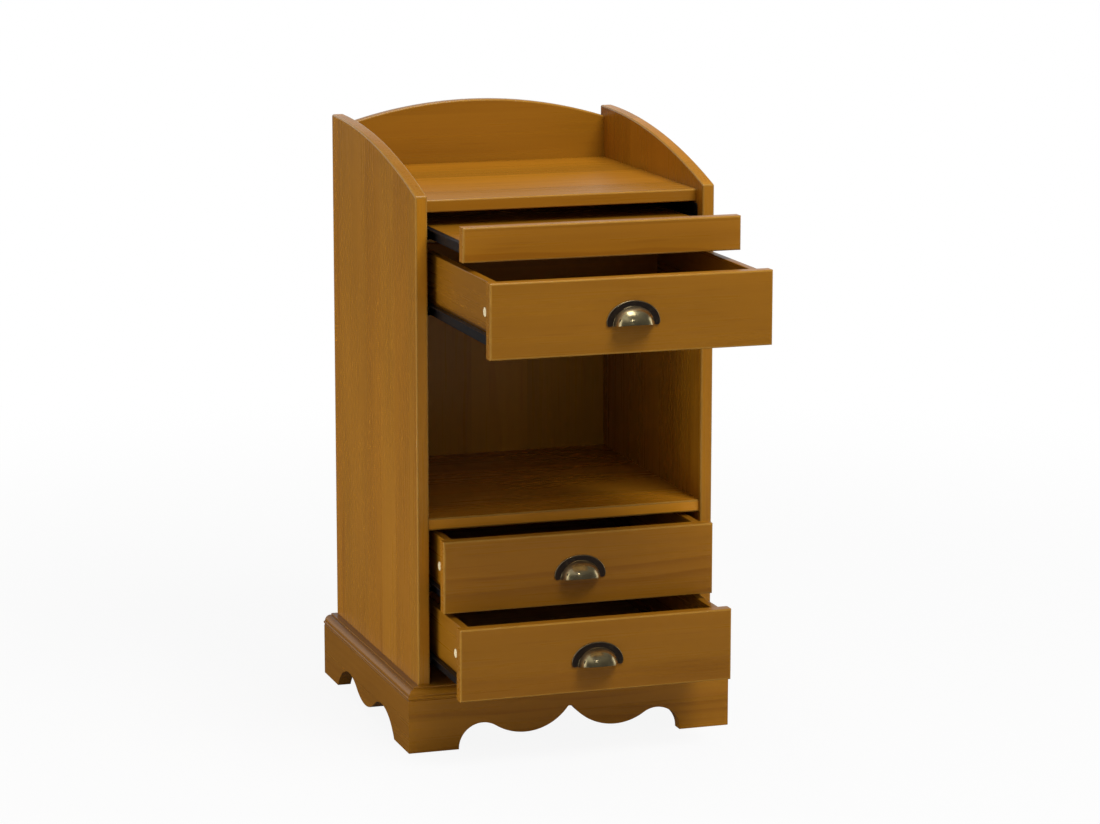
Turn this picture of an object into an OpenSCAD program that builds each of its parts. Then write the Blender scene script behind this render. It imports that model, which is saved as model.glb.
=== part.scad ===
// Hall chest: a narrow pine chest with a pull-out tray, three drawers and an open niche.
// Millimetres. The origin is on the floor, midway between the side panels and midway
// along their depth. The front is towards -Y and +Z is up. The tray and the drawers are
// drawn pulled out by the amounts in the section named Pulled out.

/* [Carcass] */
// Width over the two side panels
body_w = 450; // [400:1:600]
// Depth of the side panels from front edge to back edge
body_d = 452; // [445:1:560]
// Thickness of the carcass boards
board_t = 18; // [16:0.5:22]
// Height that the side panels gain from their front edge to their back edge
side_rise = 70; // [30:1:110]
// Height of the side panels' front corner above the top board
side_step = 9; // [4:0.5:20]
// Height of the side panels' lower edge above the floor
side_clear = 45; // [40:1:55]
// Distance of the top board's front edge behind the side panels' front edges
top_setback = 26; // [22:1:50]
// Distance of the niche shelf's front edge behind the side panels' front edges
shelf_setback = 6; // [0:1:20]
// Radius of the rounded arrises
edge_r = 2.5; // [1:0.5:4]

/* [Back rail and back panel] */
// Height of the arched back rail at its two ends
rail_end_h = 64; // [40:1:90]
// Height that the back rail gains in the middle
rail_rise = 32; // [15:1:50]
// Depth of the seat in the top board that the back rail stands in
rail_seat = 3; // [1:0.5:4]
// Thickness of the back panel
panel_t = 4; // [3:0.5:6]
// Distance of the back panel's front face from the back edges
panel_inset = 18; // [16:0.5:24]
// Depth of the groove that holds the back panel
panel_groove = 8; // [5:0.5:10]
// Play of the back panel at the bottom of each groove
panel_play = 0.5; // [0.2:0.1:1]

/* [Plinth] */
// Height of the plinth
plinth_h = 95; // [85:1:120]
// Thickness of the plinth boards
apron_t = 21; // [18:0.5:25]
// Radius of the round along the top of the plinth
mould_r = 10; // [6:0.5:12]
// Radius of the bead under the round
bead_r = 2; // [1.5:0.25:3]
// Radius of the small groove under the bead
quirk_r = 1; // [0.5:0.25:1.5]
// Width of the feet at the front
foot_w = 76; // [60:1:90]
// Height of the two front arches
arch_h = 37; // [30:0.5:40]
// Radius of the two front arches
arch_r = 36; // [30:0.5:40]
// Height of the lowest point of the front lobes above the floor
lobe_h = 17.5; // [12:0.5:22]
// Height of the point in the middle of the front
peak_h = 51; // [42:0.5:56]
// Shift of the front lobes outwards from halfway to the arches
lobe_shift = 2; // [0:0.5:4]
// Width of the feet at the sides
side_foot_w = 78; // [60:1:90]
// Height of the arches at the sides
side_arch_h = 36.5; // [30:0.5:39]
// Radius of the arches at the sides
side_arch_r = 80; // [70:1:95]
// Height of the lowest point of the side lobes above the floor
side_lobe_h = 10; // [6:0.5:14]
// Side of the square corner blocks inside the plinth
block_w = 25; // [22:0.5:28]
// Height of the corner blocks above the floor
block_lift = 3; // [2:0.5:6]

/* [Heights] */
// Height of a drawer front
front_h = 105; // [90:1:130]
// Gap from the bottom board up to the lowest drawer front
bottom_gap = 9; // [4:0.5:20]
// Gap between the two lower drawer fronts
front_gap = 4.5; // [2:0.5:10]
// Gap from the middle drawer front up to the niche shelf
shelf_gap = 2.5; // [1.5:0.5:8]
// Height from the niche shelf up to the upper drawer front
niche_h = 278.5; // [200:0.5:320]
// Gap between the upper drawer front and the tray's lip
tray_gap = 10; // [6:0.5:16]
// Height of the tray's lip
lip_h = 49; // [45:0.5:60]
// Height that the tray's lip covers of the top board's front edge
lip_cover = 3.5; // [0:0.5:8]

/* [Drawers and tray] */
// Thickness of the drawer fronts and of the tray's lip
front_t = 18; // [16:0.5:20]
// Gap between a front and each side panel
front_play = 3; // [1.5:0.25:4]
// Thickness of the drawer sides and drawer backs
box_t = 12; // [12:0.5:14]
// Distance of the drawer sides' upper edge below the top of the front
box_drop = 3; // [1:0.5:10]
// Distance of the drawer sides' lower edge above the bottom of the front
box_lift = 15; // [12:0.5:20]
// Thickness of the drawer bottoms
bottom_t = 4; // [3:0.5:5]
// Depth of the grooves for the drawer bottoms
bottom_groove = 6; // [4:0.5:6]
// Height of those grooves above the drawer sides' lower edge
bottom_lift = 6; // [5:0.5:10]
// Play of the drawer bottoms at the ends of their grooves
bottom_play = 0.5; // [0.2:0.1:1]
// Thickness of the tray board
tray_t = 16; // [15:0.5:18]
// Distance of the tray board's top below the top of its lip
tray_drop = 24; // [20:0.5:26]

/* [Pulled out] */
// How far the tray is pulled out
tray_open = 161; // [0:1:300]
// How far the upper drawer is pulled out
drawer_1_open = 284; // [0:1:300]
// How far the middle drawer is pulled out
drawer_2_open = 62; // [0:1:300]
// How far the lowest drawer is pulled out
drawer_3_open = 140; // [0:1:300]

/* [Runners] */
// Length of the drawer sides and their slides
runner_l = 400; // [350:10:400]
// Gap between a side panel and a drawer box, where the runners sit
runner_gap = 12.5; // [12.5:0.1:13.5]
// Thickness of the runners' steel
sheet_t = 1.2; // [1:0.1:1.4]
// Height that a slide covers of the drawer side
track_h = 17; // [17:0.25:19]
// Radius of the front rollers
front_roller_r = 7.5; // [6:0.1:7.6]
// Radius of the rear rollers
rear_roller_r = 8.6; // [7.5:0.1:8.8]
// Radius of the rollers' axles
axle_r = 2.5; // [2:0.1:3]
// Radial clearance between an axle and its roller
axle_play = 0.08; // [0.05:0.01:0.1]
// Clearance between a roller and the steel that it runs on
roll_play = 0.3; // [0.2:0.05:0.4]
// Clearance between a slide's flange and the lip above it
lip_play = 0.6; // [0.4:0.1:1]
// Distance of the cabinet runners behind a closed front
runner_setback = 2; // [1:0.5:5]
// Radius of the corner at the front of the cabinet runners
runner_corner_r = 6; // [3:0.5:7]
// Clearance from the tray's tall runners up to the top board
tray_runner_play = 2; // [1:0.5:4]

/* [Pulls] */
// Width of a pull over its flange
pull_w = 78; // [72:1:90]
// Height of a pull over its flange
pull_h = 35; // [32:0.5:40]
// Thickness of the flange
flange_t = 2; // [1.5:0.25:3]
// Width of the cup
cup_w = 58; // [54:1:64]
// Height and reach of the cup
cup_h = 26.5; // [24:0.5:28]
// Height that the cup's lower rim gains towards its front
rim_rise = 4.5; // [0:0.5:6]
// Wall of the cup
cup_wall = 1.6; // [1.2:0.1:2]
// Height of a pull's lower edge above the bottom of the front
pull_z = 38; // [25:0.5:45]
// Distance between the two screws of a pull
pull_screw_gap = 42; // [38:1:44]
// Height of the screws above the pull's lower edge
pull_screw_z = 9; // [8:0.5:12]
// Radius of the screws' posts inside the cup
post_r = 3.6; // [3.2:0.1:4.5]

/* [Fixings] */
// Radius of the cams in the carcass boards
cam_r = 7.4; // [6:0.1:7.5]
// Height of those cams
cam_h = 12.5; // [11:0.5:13]
// Distance from a carcass board's end to its cams
cam_back = 34; // [24:1:36]
// Radius of the cams in the drawer sides and the tray
small_cam_r = 5.9; // [5:0.1:6]
// Height of the small cams
small_cam_h = 9; // [8:0.5:9]
// Distance from a drawer front to the cams in the drawer sides
small_cam_back = 34; // [24:1:40]
// Radius of the caps over the drawers' cams
cap_r = 6.5; // [6.2:0.1:8]
// Thickness of those caps
cap_t = 1; // [0.8:0.1:1.5]
// Radius of the wood screws
screw_r = 2; // [1.5:0.1:2.2]
// Length of the wood screws
screw_l = 35; // [32:1:36]
// Radius of the runners' screws
pan_r = 1.6; // [1.4:0.1:1.8]
// Length of the runners' screws below their heads
pan_l = 11; // [9:0.5:12]
// Radius of the pulls' screws
pull_screw_r = 1.9; // [1.5:0.1:2]
// Radial clearance of a screw, bolt or cam in its hole
hole_play = 0.1; // [0.05:0.05:0.2]

/* [Hidden] */
$fn = 64;

pine = [0.62, 0.41, 0.16];
pine_shade = [0.52, 0.33, 0.12];
black_steel = [0.10, 0.10, 0.11];
nylon = [0.20, 0.20, 0.21];
bronze = [0.30, 0.26, 0.20];
zinc = [0.72, 0.72, 0.70];
cream = [0.93, 0.87, 0.72];

// A cut runs this far past the face that it opens
past = 1;

front_y = -body_d / 2;
back_y = body_d / 2;
outer_x = body_w / 2;
inner_x = outer_x - board_t;

// Levels, from the floor up
drawer_3_z = plinth_h + bottom_gap;
drawer_2_z = drawer_3_z + front_h + front_gap;
shelf_z = drawer_2_z + front_h + shelf_gap;
drawer_1_z = shelf_z + board_t + niche_h;
lip_z = drawer_1_z + front_h + tray_gap;
top_z = lip_z + lip_h - lip_cover;
deck_z = top_z + board_t;
side_front_h = deck_z + side_step;
side_back_h = side_front_h + side_rise;
tray_top_z = lip_z + lip_h - tray_drop;
tray_z = tray_top_z - tray_t;

drawer_z = [drawer_1_z, drawer_2_z, drawer_3_z];
drawer_open = [drawer_1_open, drawer_2_open, drawer_3_open];

// Drawer boxes, with the drawers shut
box_front_y = front_y + front_t;
box_back_y = box_front_y + runner_l;
box_x = inner_x - runner_gap;
box_h = front_h - box_drop - box_lift;
front_x = inner_x - front_play;

// Runners, measured from a side panel's inner face and a drawer side's lower edge
track_under = track_h - sheet_t;
roller_x0 = 3;
roller_x1 = runner_gap - sheet_t - 1.5;
front_roller_z = track_under - roll_play - front_roller_r;
channel_top = track_h + lip_play;
rear_roller_z = channel_top - roll_play - rear_roller_r;
channel_floor = rear_roller_z - rear_roller_r - roll_play;
channel_w = runner_gap - sheet_t - 0.8;
front_roller_y = runner_setback + 4 + rear_roller_r;
rear_roller_y = runner_l - rear_roller_r - 3;
cabinet_runner_l = runner_l - runner_setback;
runner_screw_y = [40, runner_l / 2, runner_l - 40];
slide_screw_y = [30, runner_l - 60];
pan_head_r = 3;
pan_head_t = 0.8;

// Fixings
cam_play = 0.5;
cam_slot = 7;
cam_neck = 2;
bolt_tip = 1;
thread_l = 11;
small_thread_l = 10;
bolt_r = 3;
small_bolt_r = 2.2;
screw_head_r = 2 * screw_r;
cam_y = [front_y + 60, back_y - 70];
apron_screw_y = [front_y + 76, 0, back_y - 76];
rail_screw_x = [-inner_x + 60, 0, inner_x - 60];
tray_cam_x = inner_x - 67;

// A box between two corners
module span(low, high) {
    translate(low) cube(high - low);
}

// A copy on the left and its mirror image on the right
module both_sides() {
    children();
    mirror([1, 0, 0]) children();
}

// Stands a flat outline up, with its first axis along Y and its thickness along X
module stand_along_x() {
    rotate([90, 0, 90]) children();
}

// A rectangle from the origin, with the two corners at its start rounded
module nosed_rectangle(length, height, r) {
    translate([r, 0]) square([length - r, height]);
    translate([0, r]) square([length, height - 2 * r]);
    translate([r, r]) circle(r);
    translate([r, height - r]) circle(r);
}

// A board across the chest with its front edge rounded
module nosed_board(half_w, y0, y1, z0, thickness) {
    translate([-half_w, y0, z0]) stand_along_x() linear_extrude(2 * half_w)
        nosed_rectangle(y1 - y0, thickness, edge_r);
}

// A front board with its four front arrises rounded
module rounded_front(half_w, z0, height) {
    intersection() {
        nosed_board(half_w, front_y, box_front_y, z0, height);
        translate([half_w, front_y, z0 - past]) rotate([0, 0, 90])
            linear_extrude(height + 2 * past) nosed_rectangle(front_t, 2 * half_w, edge_r);
    }
}

// A countersunk wood screw along +Z, with its head's face at the origin
module wood_screw(grow = 0) {
    cylinder(h = screw_r + grow, r1 = screw_head_r + grow, r2 = screw_r + grow);
    cylinder(h = screw_l + grow, r = screw_r + grow);
}

// The cross recess in a screw's head
module cross_recess(width, depth) {
    for (turn = [0, 90])
        rotate([0, 0, turn]) translate([-width / 2, -width / 8, -past])
            cube([width, width / 4, depth + past]);
}

// The hole of a wood screw
module wood_screw_hole() {
    wood_screw(hole_play);
    translate([0, 0, -past]) cylinder(h = 2 * past, r = screw_head_r + hole_play);
}

// A pan-head screw along +Z, with its head below the origin
module pan_screw() {
    difference() {
        translate([0, 0, -pan_head_t]) cylinder(h = pan_head_t, r = pan_head_r);
        translate([0, 0, -pan_head_t]) cross_recess(3.2, 0.4);
    }
    cylinder(h = pan_l, r = pan_r);
}

// The hole of a pan-head screw
module pan_screw_hole() {
    translate([0, 0, -past]) cylinder(h = past + pan_l + hole_play, r = pan_r + hole_play);
}

// A cam and its bolt. The joint's face is at x = 0, the bolt lies along X with its thread
// in the piece at -X, and the cam stands along Z in a bore from the face at -axis_h.
module cam_fitting(r, h, axis_h, back, shank_r, thread) {
    difference() {
        translate([back, 0, -axis_h]) cylinder(h = h, r = r);
        span([back - r - past, -cam_slot / 2, -cam_slot / 2], [back + r / 2, cam_slot / 2, cam_slot / 2]);
        translate([back, 0, -axis_h]) cross_recess(r, 1.5);
    }
    rotate([0, 90, 0]) {
        translate([0, 0, -thread]) cylinder(h = thread, r = shank_r - 0.4);
        cylinder(h = back - cam_neck - 3, r = shank_r);
        cylinder(h = back, r = shank_r - 1);
        translate([0, 0, back - cam_neck]) cylinder(h = cam_neck + bolt_tip, r = shank_r);
    }
}

// The bores of a cam fitting, in both pieces
module cam_bores(r, h, axis_h, back, shank_r, thread) {
    translate([back, 0, -axis_h - past]) cylinder(h = h + cam_play + past, r = r + hole_play);
    rotate([0, 90, 0]) {
        translate([0, 0, -thread - cam_play])
            cylinder(h = thread + cam_play + past, r = shank_r - 0.4 + hole_play);
        cylinder(h = back + bolt_tip + cam_play, r = shank_r + cam_play);
    }
}

// The places of the cams that hold the carcass boards between the side panels
module at_carcass_cams() {
    both_sides()
        for (z = [plinth_h - board_t, shelf_z, top_z], y = cam_y)
            translate([-inner_x, y, z + board_t / 2]) children();
}

module carcass_cam_bores() {
    at_carcass_cams() cam_bores(cam_r, cam_h, board_t / 2, cam_back, bolt_r, thread_l);
}

// The places of the wood screws through the side panels into the side aprons
module at_apron_screws() {
    both_sides()
        for (y = apron_screw_y)
            translate([-inner_x, y, (side_clear + plinth_h - board_t) / 2])
                rotate([0, -90, 0]) children();
}

// The places of the wood screws up through the top board into the back rail
module at_rail_screws() {
    for (x = rail_screw_x)
        translate([x, back_y - board_t / 2, top_z]) children();
}

// The places of the wood screws through the corner blocks into the aprons
module at_block_screws() {
    side_screw_z = block_lift + 30;
    front_screw_z = block_lift + 12;
    both_sides() {
        for (y = [front_y + block_w / 2, back_y - block_w / 2])
            translate([-outer_x + block_w, y, side_screw_z]) rotate([0, -90, 0]) children();
        translate([-outer_x + block_w / 2, front_y + block_w, front_screw_z])
            rotate([90, 0, 0]) children();
    }
}

// A place beside each side panel, at a level and at the back of a shut front
module at_runners(z) {
    both_sides() translate([-inner_x, box_front_y, z]) children();
}

// The lower edges that the four pairs of runners carry
runner_levels = concat([tray_z], [for (z = drawer_z) z + box_lift]);

// The places of the screws that hold the cabinet runners to the side panels
module at_runner_screws() {
    for (z = runner_levels)
        at_runners(z)
            for (y = runner_screw_y)
                translate([sheet_t, y, front_roller_z]) rotate([0, -90, 0]) children();
}

// One side panel, on the left
module side_panel() {
    curve_r = (pow(body_d, 2) + pow(side_rise, 2)) / (2 * side_rise);
    difference() {
        intersection() {
            translate([-outer_x, front_y, side_clear]) stand_along_x()
                linear_extrude(board_t) square([body_d, side_back_h - side_clear]);
            translate([-outer_x - past, back_y, side_back_h - curve_r]) stand_along_x()
                linear_extrude(board_t + 2 * past) circle(curve_r, $fn = 360);
            translate([-inner_x, front_y, 0]) rotate([0, 0, 90])
                linear_extrude(side_back_h + past) nosed_rectangle(body_d, board_t, edge_r);
        }
        panel_slot(0);
        carcass_cam_bores();
        at_apron_screws() wood_screw_hole();
        at_runner_screws() pan_screw_hole();
    }
}

module left_side_panel() {
    color(pine) side_panel();
}

module right_side_panel() {
    color(pine) mirror([1, 0, 0]) side_panel();
}

// The back panel, or with no play the grooves that it slides in
module panel_slot(play) {
    reach = panel_groove - play;
    span([-inner_x - reach, back_y - panel_inset, plinth_h - reach],
         [inner_x + reach, back_y - panel_inset + panel_t, top_z + reach]);
}

module back_panel() {
    color(pine_shade) panel_slot(panel_play);
}

module top_board() {
    color(pine) difference() {
        nosed_board(inner_x, front_y + top_setback, back_y, top_z, board_t);
        panel_slot(0);
        carcass_cam_bores();
        at_rail_screws() wood_screw_hole();
        span([-inner_x - past, back_y - board_t, deck_z - rail_seat],
             [inner_x + past, back_y + past, deck_z + past]);
    }
}

// The arched rail that stands in its seat on the top board, between the side panels
module back_rail() {
    curve_r = (pow(inner_x, 2) + pow(rail_rise, 2)) / (2 * rail_rise);
    color(pine) difference() {
        intersection() {
            span([-inner_x, back_y - board_t, deck_z - rail_seat],
                 [inner_x, back_y, deck_z + rail_end_h + rail_rise]);
            translate([0, back_y + past, deck_z + rail_end_h + rail_rise - curve_r])
                rotate([90, 0, 0]) linear_extrude(board_t + 2 * past) circle(curve_r, $fn = 360);
        }
        at_rail_screws() wood_screw_hole();
    }
}

module niche_shelf() {
    color(pine) difference() {
        nosed_board(inner_x, front_y + shelf_setback, back_y - panel_inset, shelf_z, board_t);
        carcass_cam_bores();
    }
}

module bottom_board() {
    color(pine) difference() {
        span([-inner_x, front_y, plinth_h - board_t], [inner_x, back_y, plinth_h]);
        panel_slot(0);
        carcass_cam_bores();
    }
}

// The section of the plinth boards, from their inner face outwards
module plinth_section() {
    round_x = apron_t - quirk_r - mould_r;
    flat_h = plinth_h - mould_r - 2 * bead_r - quirk_r;
    difference() {
        union() {
            square([apron_t, flat_h]);
            square([apron_t - quirk_r, plinth_h - mould_r]);
            square([round_x, plinth_h]);
            translate([round_x, plinth_h - mould_r]) circle(mould_r);
            translate([apron_t - quirk_r, flat_h + bead_r]) circle(bead_r);
        }
        translate([apron_t, flat_h - 1.5 * quirk_r]) circle(quirk_r);
    }
}

// Half of the opening under an apron, from its middle outwards: a lobe and then an arch,
// two arcs that meet smoothly. Next to the middle the opening goes up to the peak.
module half_scallop(half_l, foot, arch_top, r, lobe_x, lobe_low, peak) {
    arch_z = arch_top - r;
    arch_x = half_l - foot - sqrt(pow(r, 2) - pow(arch_z, 2));
    rise = lobe_low - arch_z;
    lobe_r = (pow(arch_x - lobe_x, 2) / (r - rise) - (r + rise)) / 2;
    meet_x = arch_x - r * (arch_x - lobe_x) / (r + lobe_r);
    intersection() {
        translate([arch_x, arch_z]) circle(r);
        translate([meet_x, -past]) square([half_l, arch_top + 2 * past]);
    }
    difference() {
        translate([0, -past]) square([meet_x, peak + past]);
        translate([lobe_x, lobe_low + lobe_r]) circle(lobe_r, $fn = 180);
    }
}

// A plinth board along +X, from its middle, with the scalloped opening cut through it
module apron(half_l, foot, arch_top, r, lobe_x, lobe_low, peak) {
    difference() {
        translate([-half_l - past, 0, 0]) mirror([0, 1, 0]) stand_along_x()
            linear_extrude(2 * (half_l + past)) plinth_section();
        translate([0, past, 0]) rotate([90, 0, 0]) linear_extrude(apron_t + 2 * bead_r + 2 * past)
            for (side = [0, 1])
                mirror([side, 0]) half_scallop(half_l, foot, arch_top, r, lobe_x, lobe_low, peak);
    }
}

module front_apron() {
    mitre = apron_t + 2 * bead_r;
    half_l = outer_x + apron_t;
    arch_x = half_l - foot_w - arch_r;
    color(pine) difference() {
        intersection() {
            translate([0, front_y, 0])
                apron(half_l, foot_w, arch_h, arch_r, arch_x / 2 + lobe_shift, lobe_h, peak_h);
            linear_extrude(plinth_h)
                polygon([[-outer_x, front_y], [outer_x, front_y],
                         [outer_x + mitre, front_y - mitre], [-outer_x - mitre, front_y - mitre]]);
        }
        at_block_screws() wood_screw_hole();
    }
}

// One side apron, on the left
module side_apron() {
    mitre = apron_t + 2 * bead_r;
    half_l = (body_d + apron_t) / 2;
    difference() {
        intersection() {
            translate([-outer_x, -apron_t / 2, 0]) rotate([0, 0, -90])
                apron(half_l, side_foot_w, side_arch_h, side_arch_r, 0, side_lobe_h, side_arch_h);
            linear_extrude(plinth_h)
                polygon([[-outer_x, back_y], [-outer_x, front_y],
                         [-outer_x - mitre, front_y - mitre], [-outer_x - mitre, back_y]]);
        }
        at_block_screws() wood_screw_hole();
        at_apron_screws() wood_screw_hole();
    }
}

module left_apron() {
    color(pine) side_apron();
}

module right_apron() {
    color(pine) mirror([1, 0, 0]) side_apron();
}

module corner_blocks() {
    color(pine_shade) difference() {
        both_sides()
            for (y = [front_y, back_y - block_w])
                translate([-outer_x, y, block_lift]) cube([block_w, block_w, side_clear - block_lift]);
        at_block_screws() wood_screw_hole();
    }
}

module carcass_screws() {
    color(zinc) {
        at_rail_screws() recessed_screw();
        at_apron_screws() recessed_screw();
        at_block_screws() recessed_screw();
    }
}

// A wood screw with the recess in its head
module recessed_screw() {
    difference() {
        wood_screw();
        cross_recess(screw_head_r, 1);
    }
}

module carcass_cam_fittings() {
    color(zinc) at_carcass_cams()
        cam_fitting(cam_r, cam_h, board_t / 2, cam_back, bolt_r, thread_l);
}

module runner_screws() {
    color(zinc) at_runner_screws() pan_screw();
}

// One cabinet runner on the left: a web on the side panel, a floor, a lip and the pin
// that the front roller turns on
module cabinet_runner(web_top) {
    axle_l = roller_x1 + 0.2;
    head_t = 0.6;
    lip_y = front_roller_y + rear_roller_r + 3;
    difference() {
        union() {
            difference() {
                span([0, runner_setback, channel_floor - sheet_t], [sheet_t, runner_l, web_top]);
                difference() {
                    translate([-past, runner_setback - past, web_top - runner_corner_r])
                        cube([sheet_t + 2 * past, runner_corner_r + past, runner_corner_r + past]);
                    translate([-past, runner_setback + runner_corner_r, web_top - runner_corner_r])
                        rotate([0, 90, 0]) cylinder(h = sheet_t + 2 * past, r = runner_corner_r);
                }
            }
            span([0, runner_setback, channel_floor - sheet_t], [channel_w, runner_l, channel_floor]);
            span([0, lip_y, channel_top], [channel_w, runner_l, channel_top + sheet_t]);
        }
        for (y = runner_screw_y)
            translate([sheet_t, y, front_roller_z]) rotate([0, -90, 0]) pan_screw_hole();
    }
    translate([0, front_roller_y, front_roller_z]) rotate([0, 90, 0]) {
        cylinder(h = axle_l, r = axle_r);
        cylinder(h = roller_x0 - 0.2, r = axle_r + 1);
        translate([0, 0, axle_l]) cylinder(h = head_t, r = axle_r + 1);
    }
}

module cabinet_runners(z, web_top) {
    color(black_steel) at_runners(z) cabinet_runner(web_top);
}

// A roller with its bore along X and a shallow recess in each face
module roller(r) {
    width = roller_x1 - roller_x0;
    translate([roller_x0, 0, 0]) rotate([0, 90, 0]) difference() {
        cylinder(h = width, r = r);
        translate([0, 0, -past]) cylinder(h = width + 2 * past, r = axle_r + axle_play);
        for (z = [-past, width - 0.6])
            translate([0, 0, z]) difference() {
                cylinder(h = 0.6 + past, r = r - 1.4);
                cylinder(h = 0.6 + past, r = axle_r + 1.2);
            }
    }
}

module front_rollers(z) {
    color(nylon) at_runners(z) translate([0, front_roller_y, front_roller_z]) roller(front_roller_r);
}

module rear_rollers(z, open) {
    color(nylon) translate([0, -open, 0]) at_runners(z)
        translate([0, rear_roller_y, rear_roller_z]) roller(rear_roller_r);
}

// One slide on the left: a web beside the drawer side, a flange under it, the outer flange
// that the front roller carries and the pin that the rear roller turns on
module slide() {
    web_x = runner_gap - sheet_t;
    slide_y = 1;
    difference() {
        union() {
            span([web_x, slide_y, -sheet_t], [runner_gap, runner_l, track_h]);
            span([web_x, slide_y, -sheet_t], [runner_gap + box_t - 1, runner_l, 0]);
            span([roller_x0, slide_y, track_under],
                 [runner_gap, rear_roller_y - rear_roller_r - 3, track_h]);
        }
        at_slide_screws() pan_screw_hole();
    }
    translate([roller_x0 - 0.4, rear_roller_y, rear_roller_z]) rotate([0, 90, 0])
        cylinder(h = web_x - roller_x0 + 0.4 + sheet_t / 2, r = axle_r);
    translate([roller_x1 + 0.2, rear_roller_y, rear_roller_z]) rotate([0, 90, 0])
        cylinder(h = web_x - roller_x1 - 0.2 + sheet_t / 2, r = axle_r + 1);
}

// The places of the screws that hold a slide, under its lower flange
module at_slide_screws() {
    for (y = slide_screw_y)
        translate([runner_gap + pan_r + 2, y, -sheet_t]) children();
}

module slides(z, open) {
    color(black_steel) translate([0, -open, 0]) at_runners(z) slide();
}

// The places of the cams that join the tray board to its lip
module at_tray_cams() {
    both_sides()
        translate([-tray_cam_x, box_front_y, tray_z + tray_t / 2]) rotate([0, 0, 90]) children();
}

module tray_cam_bores() {
    at_tray_cams() cam_bores(small_cam_r, small_cam_h, tray_t / 2, small_cam_back,
                             small_bolt_r, small_thread_l);
}

module tray_board() {
    color(pine) translate([0, -tray_open, 0]) difference() {
        span([-box_x, box_front_y, tray_z], [box_x, box_back_y, tray_top_z]);
        tray_cam_bores();
        at_runners(tray_z) at_slide_screws() pan_screw_hole();
    }
}

module tray_lip() {
    color(pine) translate([0, -tray_open, 0]) difference() {
        rounded_front(front_x, lip_z, lip_h);
        tray_cam_bores();
    }
}

module tray_fixings() {
    color(zinc) translate([0, -tray_open, 0]) {
        at_tray_cams() cam_fitting(small_cam_r, small_cam_h, tray_t / 2, small_cam_back,
                                   small_bolt_r, small_thread_l);
        at_runners(tray_z) at_slide_screws() pan_screw();
    }
}

// Moves a drawer's pieces to their level, pulled out
module at_drawer(i) {
    translate([0, -drawer_open[i], drawer_z[i]]) children();
}

// The places of the cams in the drawer sides. Each is bored from the side's outer face.
module at_drawer_cams() {
    both_sides()
        translate([-box_x + box_t / 2, box_front_y, box_lift + box_h / 2]) stand_along_x() children();
}

module drawer_cam_bores() {
    at_drawer_cams() cam_bores(small_cam_r, small_cam_h, box_t / 2, small_cam_back,
                               small_bolt_r, small_thread_l);
}

// The places of the screws of a pull, with their heads at the back of the front board
module at_pull_screws() {
    for (x = [-pull_screw_gap / 2, pull_screw_gap / 2])
        translate([x, box_front_y, pull_z + pull_screw_z]) rotate([90, 0, 0]) children();
}

// The board that closes a drawer box below, or with no play the grooves that hold it
module bottom_slot(play) {
    reach = bottom_groove - play;
    z = box_lift + bottom_lift;
    half_w = box_x - box_t + reach;
    span([-half_w, box_front_y - reach, z], [half_w, box_back_y, z + bottom_t]);
}

module drawer_front(i) {
    color(pine) at_drawer(i) difference() {
        rounded_front(front_x, 0, front_h);
        bottom_slot(0);
        drawer_cam_bores();
        at_pull_screws() translate([0, 0, -past])
            cylinder(h = front_t + 2 * past, r = pull_screw_r + hole_play);
    }
}

// One drawer side, on the left
module drawer_side() {
    difference() {
        span([-box_x, box_front_y, box_lift], [-box_x + box_t, box_back_y, box_lift + box_h]);
        bottom_slot(0);
        drawer_cam_bores();
        at_runners(box_lift) at_slide_screws() pan_screw_hole();
    }
}

module drawer_left_side(i) {
    color(pine) at_drawer(i) drawer_side();
}

module drawer_right_side(i) {
    color(pine) at_drawer(i) mirror([1, 0, 0]) drawer_side();
}

module drawer_back(i) {
    z = box_lift + bottom_lift + bottom_t;
    color(pine) at_drawer(i)
        span([-box_x + box_t, box_back_y - box_t, z], [box_x - box_t, box_back_y, box_lift + box_h]);
}

module drawer_bottom(i) {
    color(pine_shade) at_drawer(i) bottom_slot(bottom_play);
}

module drawer_slides(i) {
    slides(drawer_z[i] + box_lift, drawer_open[i]);
}

module drawer_rear_rollers(i) {
    rear_rollers(drawer_z[i] + box_lift, drawer_open[i]);
}

module drawer_front_rollers(i) {
    front_rollers(drawer_z[i] + box_lift);
}

module drawer_cabinet_runners(i) {
    cabinet_runners(drawer_z[i] + box_lift, channel_top + sheet_t);
}

// Half of a cup's outline about its open edge, from the middle to one end
function cup_outline(half_w, height, steps = 14) =
    [for (i = [0:steps]) let (a = 90 * i / steps)
        [height * pow(cos(a), 0.85), half_w * pow(sin(a), 0.85)]];

// A cup's quarter turn from the face of the front outwards, solid
module cup_solid(half_w, height) {
    rotate([0, 0, 90]) rotate([90, 0, 0]) rotate([0, 0, 90])
        rotate_extrude(angle = 90) {
            polygon(concat([[0, 0]], cup_outline(half_w, height)));
            mirror([0, 1]) polygon(concat([[0, 0]], cup_outline(half_w, height)));
        }
}

// The flange's outline: an arch with round ends
module flange_outline() {
    end_r = (pull_w - cup_w) / 4;
    steps = 40;
    polygon([for (i = [0:steps]) let (a = 180 * i / steps)
        [pull_w / 2 * cos(a), end_r + (pull_h - end_r) * sin(a)]]);
    for (side = [-1, 1]) translate([side * (pull_w / 2 - end_r), end_r]) circle(end_r);
    translate([-pull_w / 2 + end_r, 0]) square([pull_w - 2 * end_r, end_r]);
}

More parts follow.
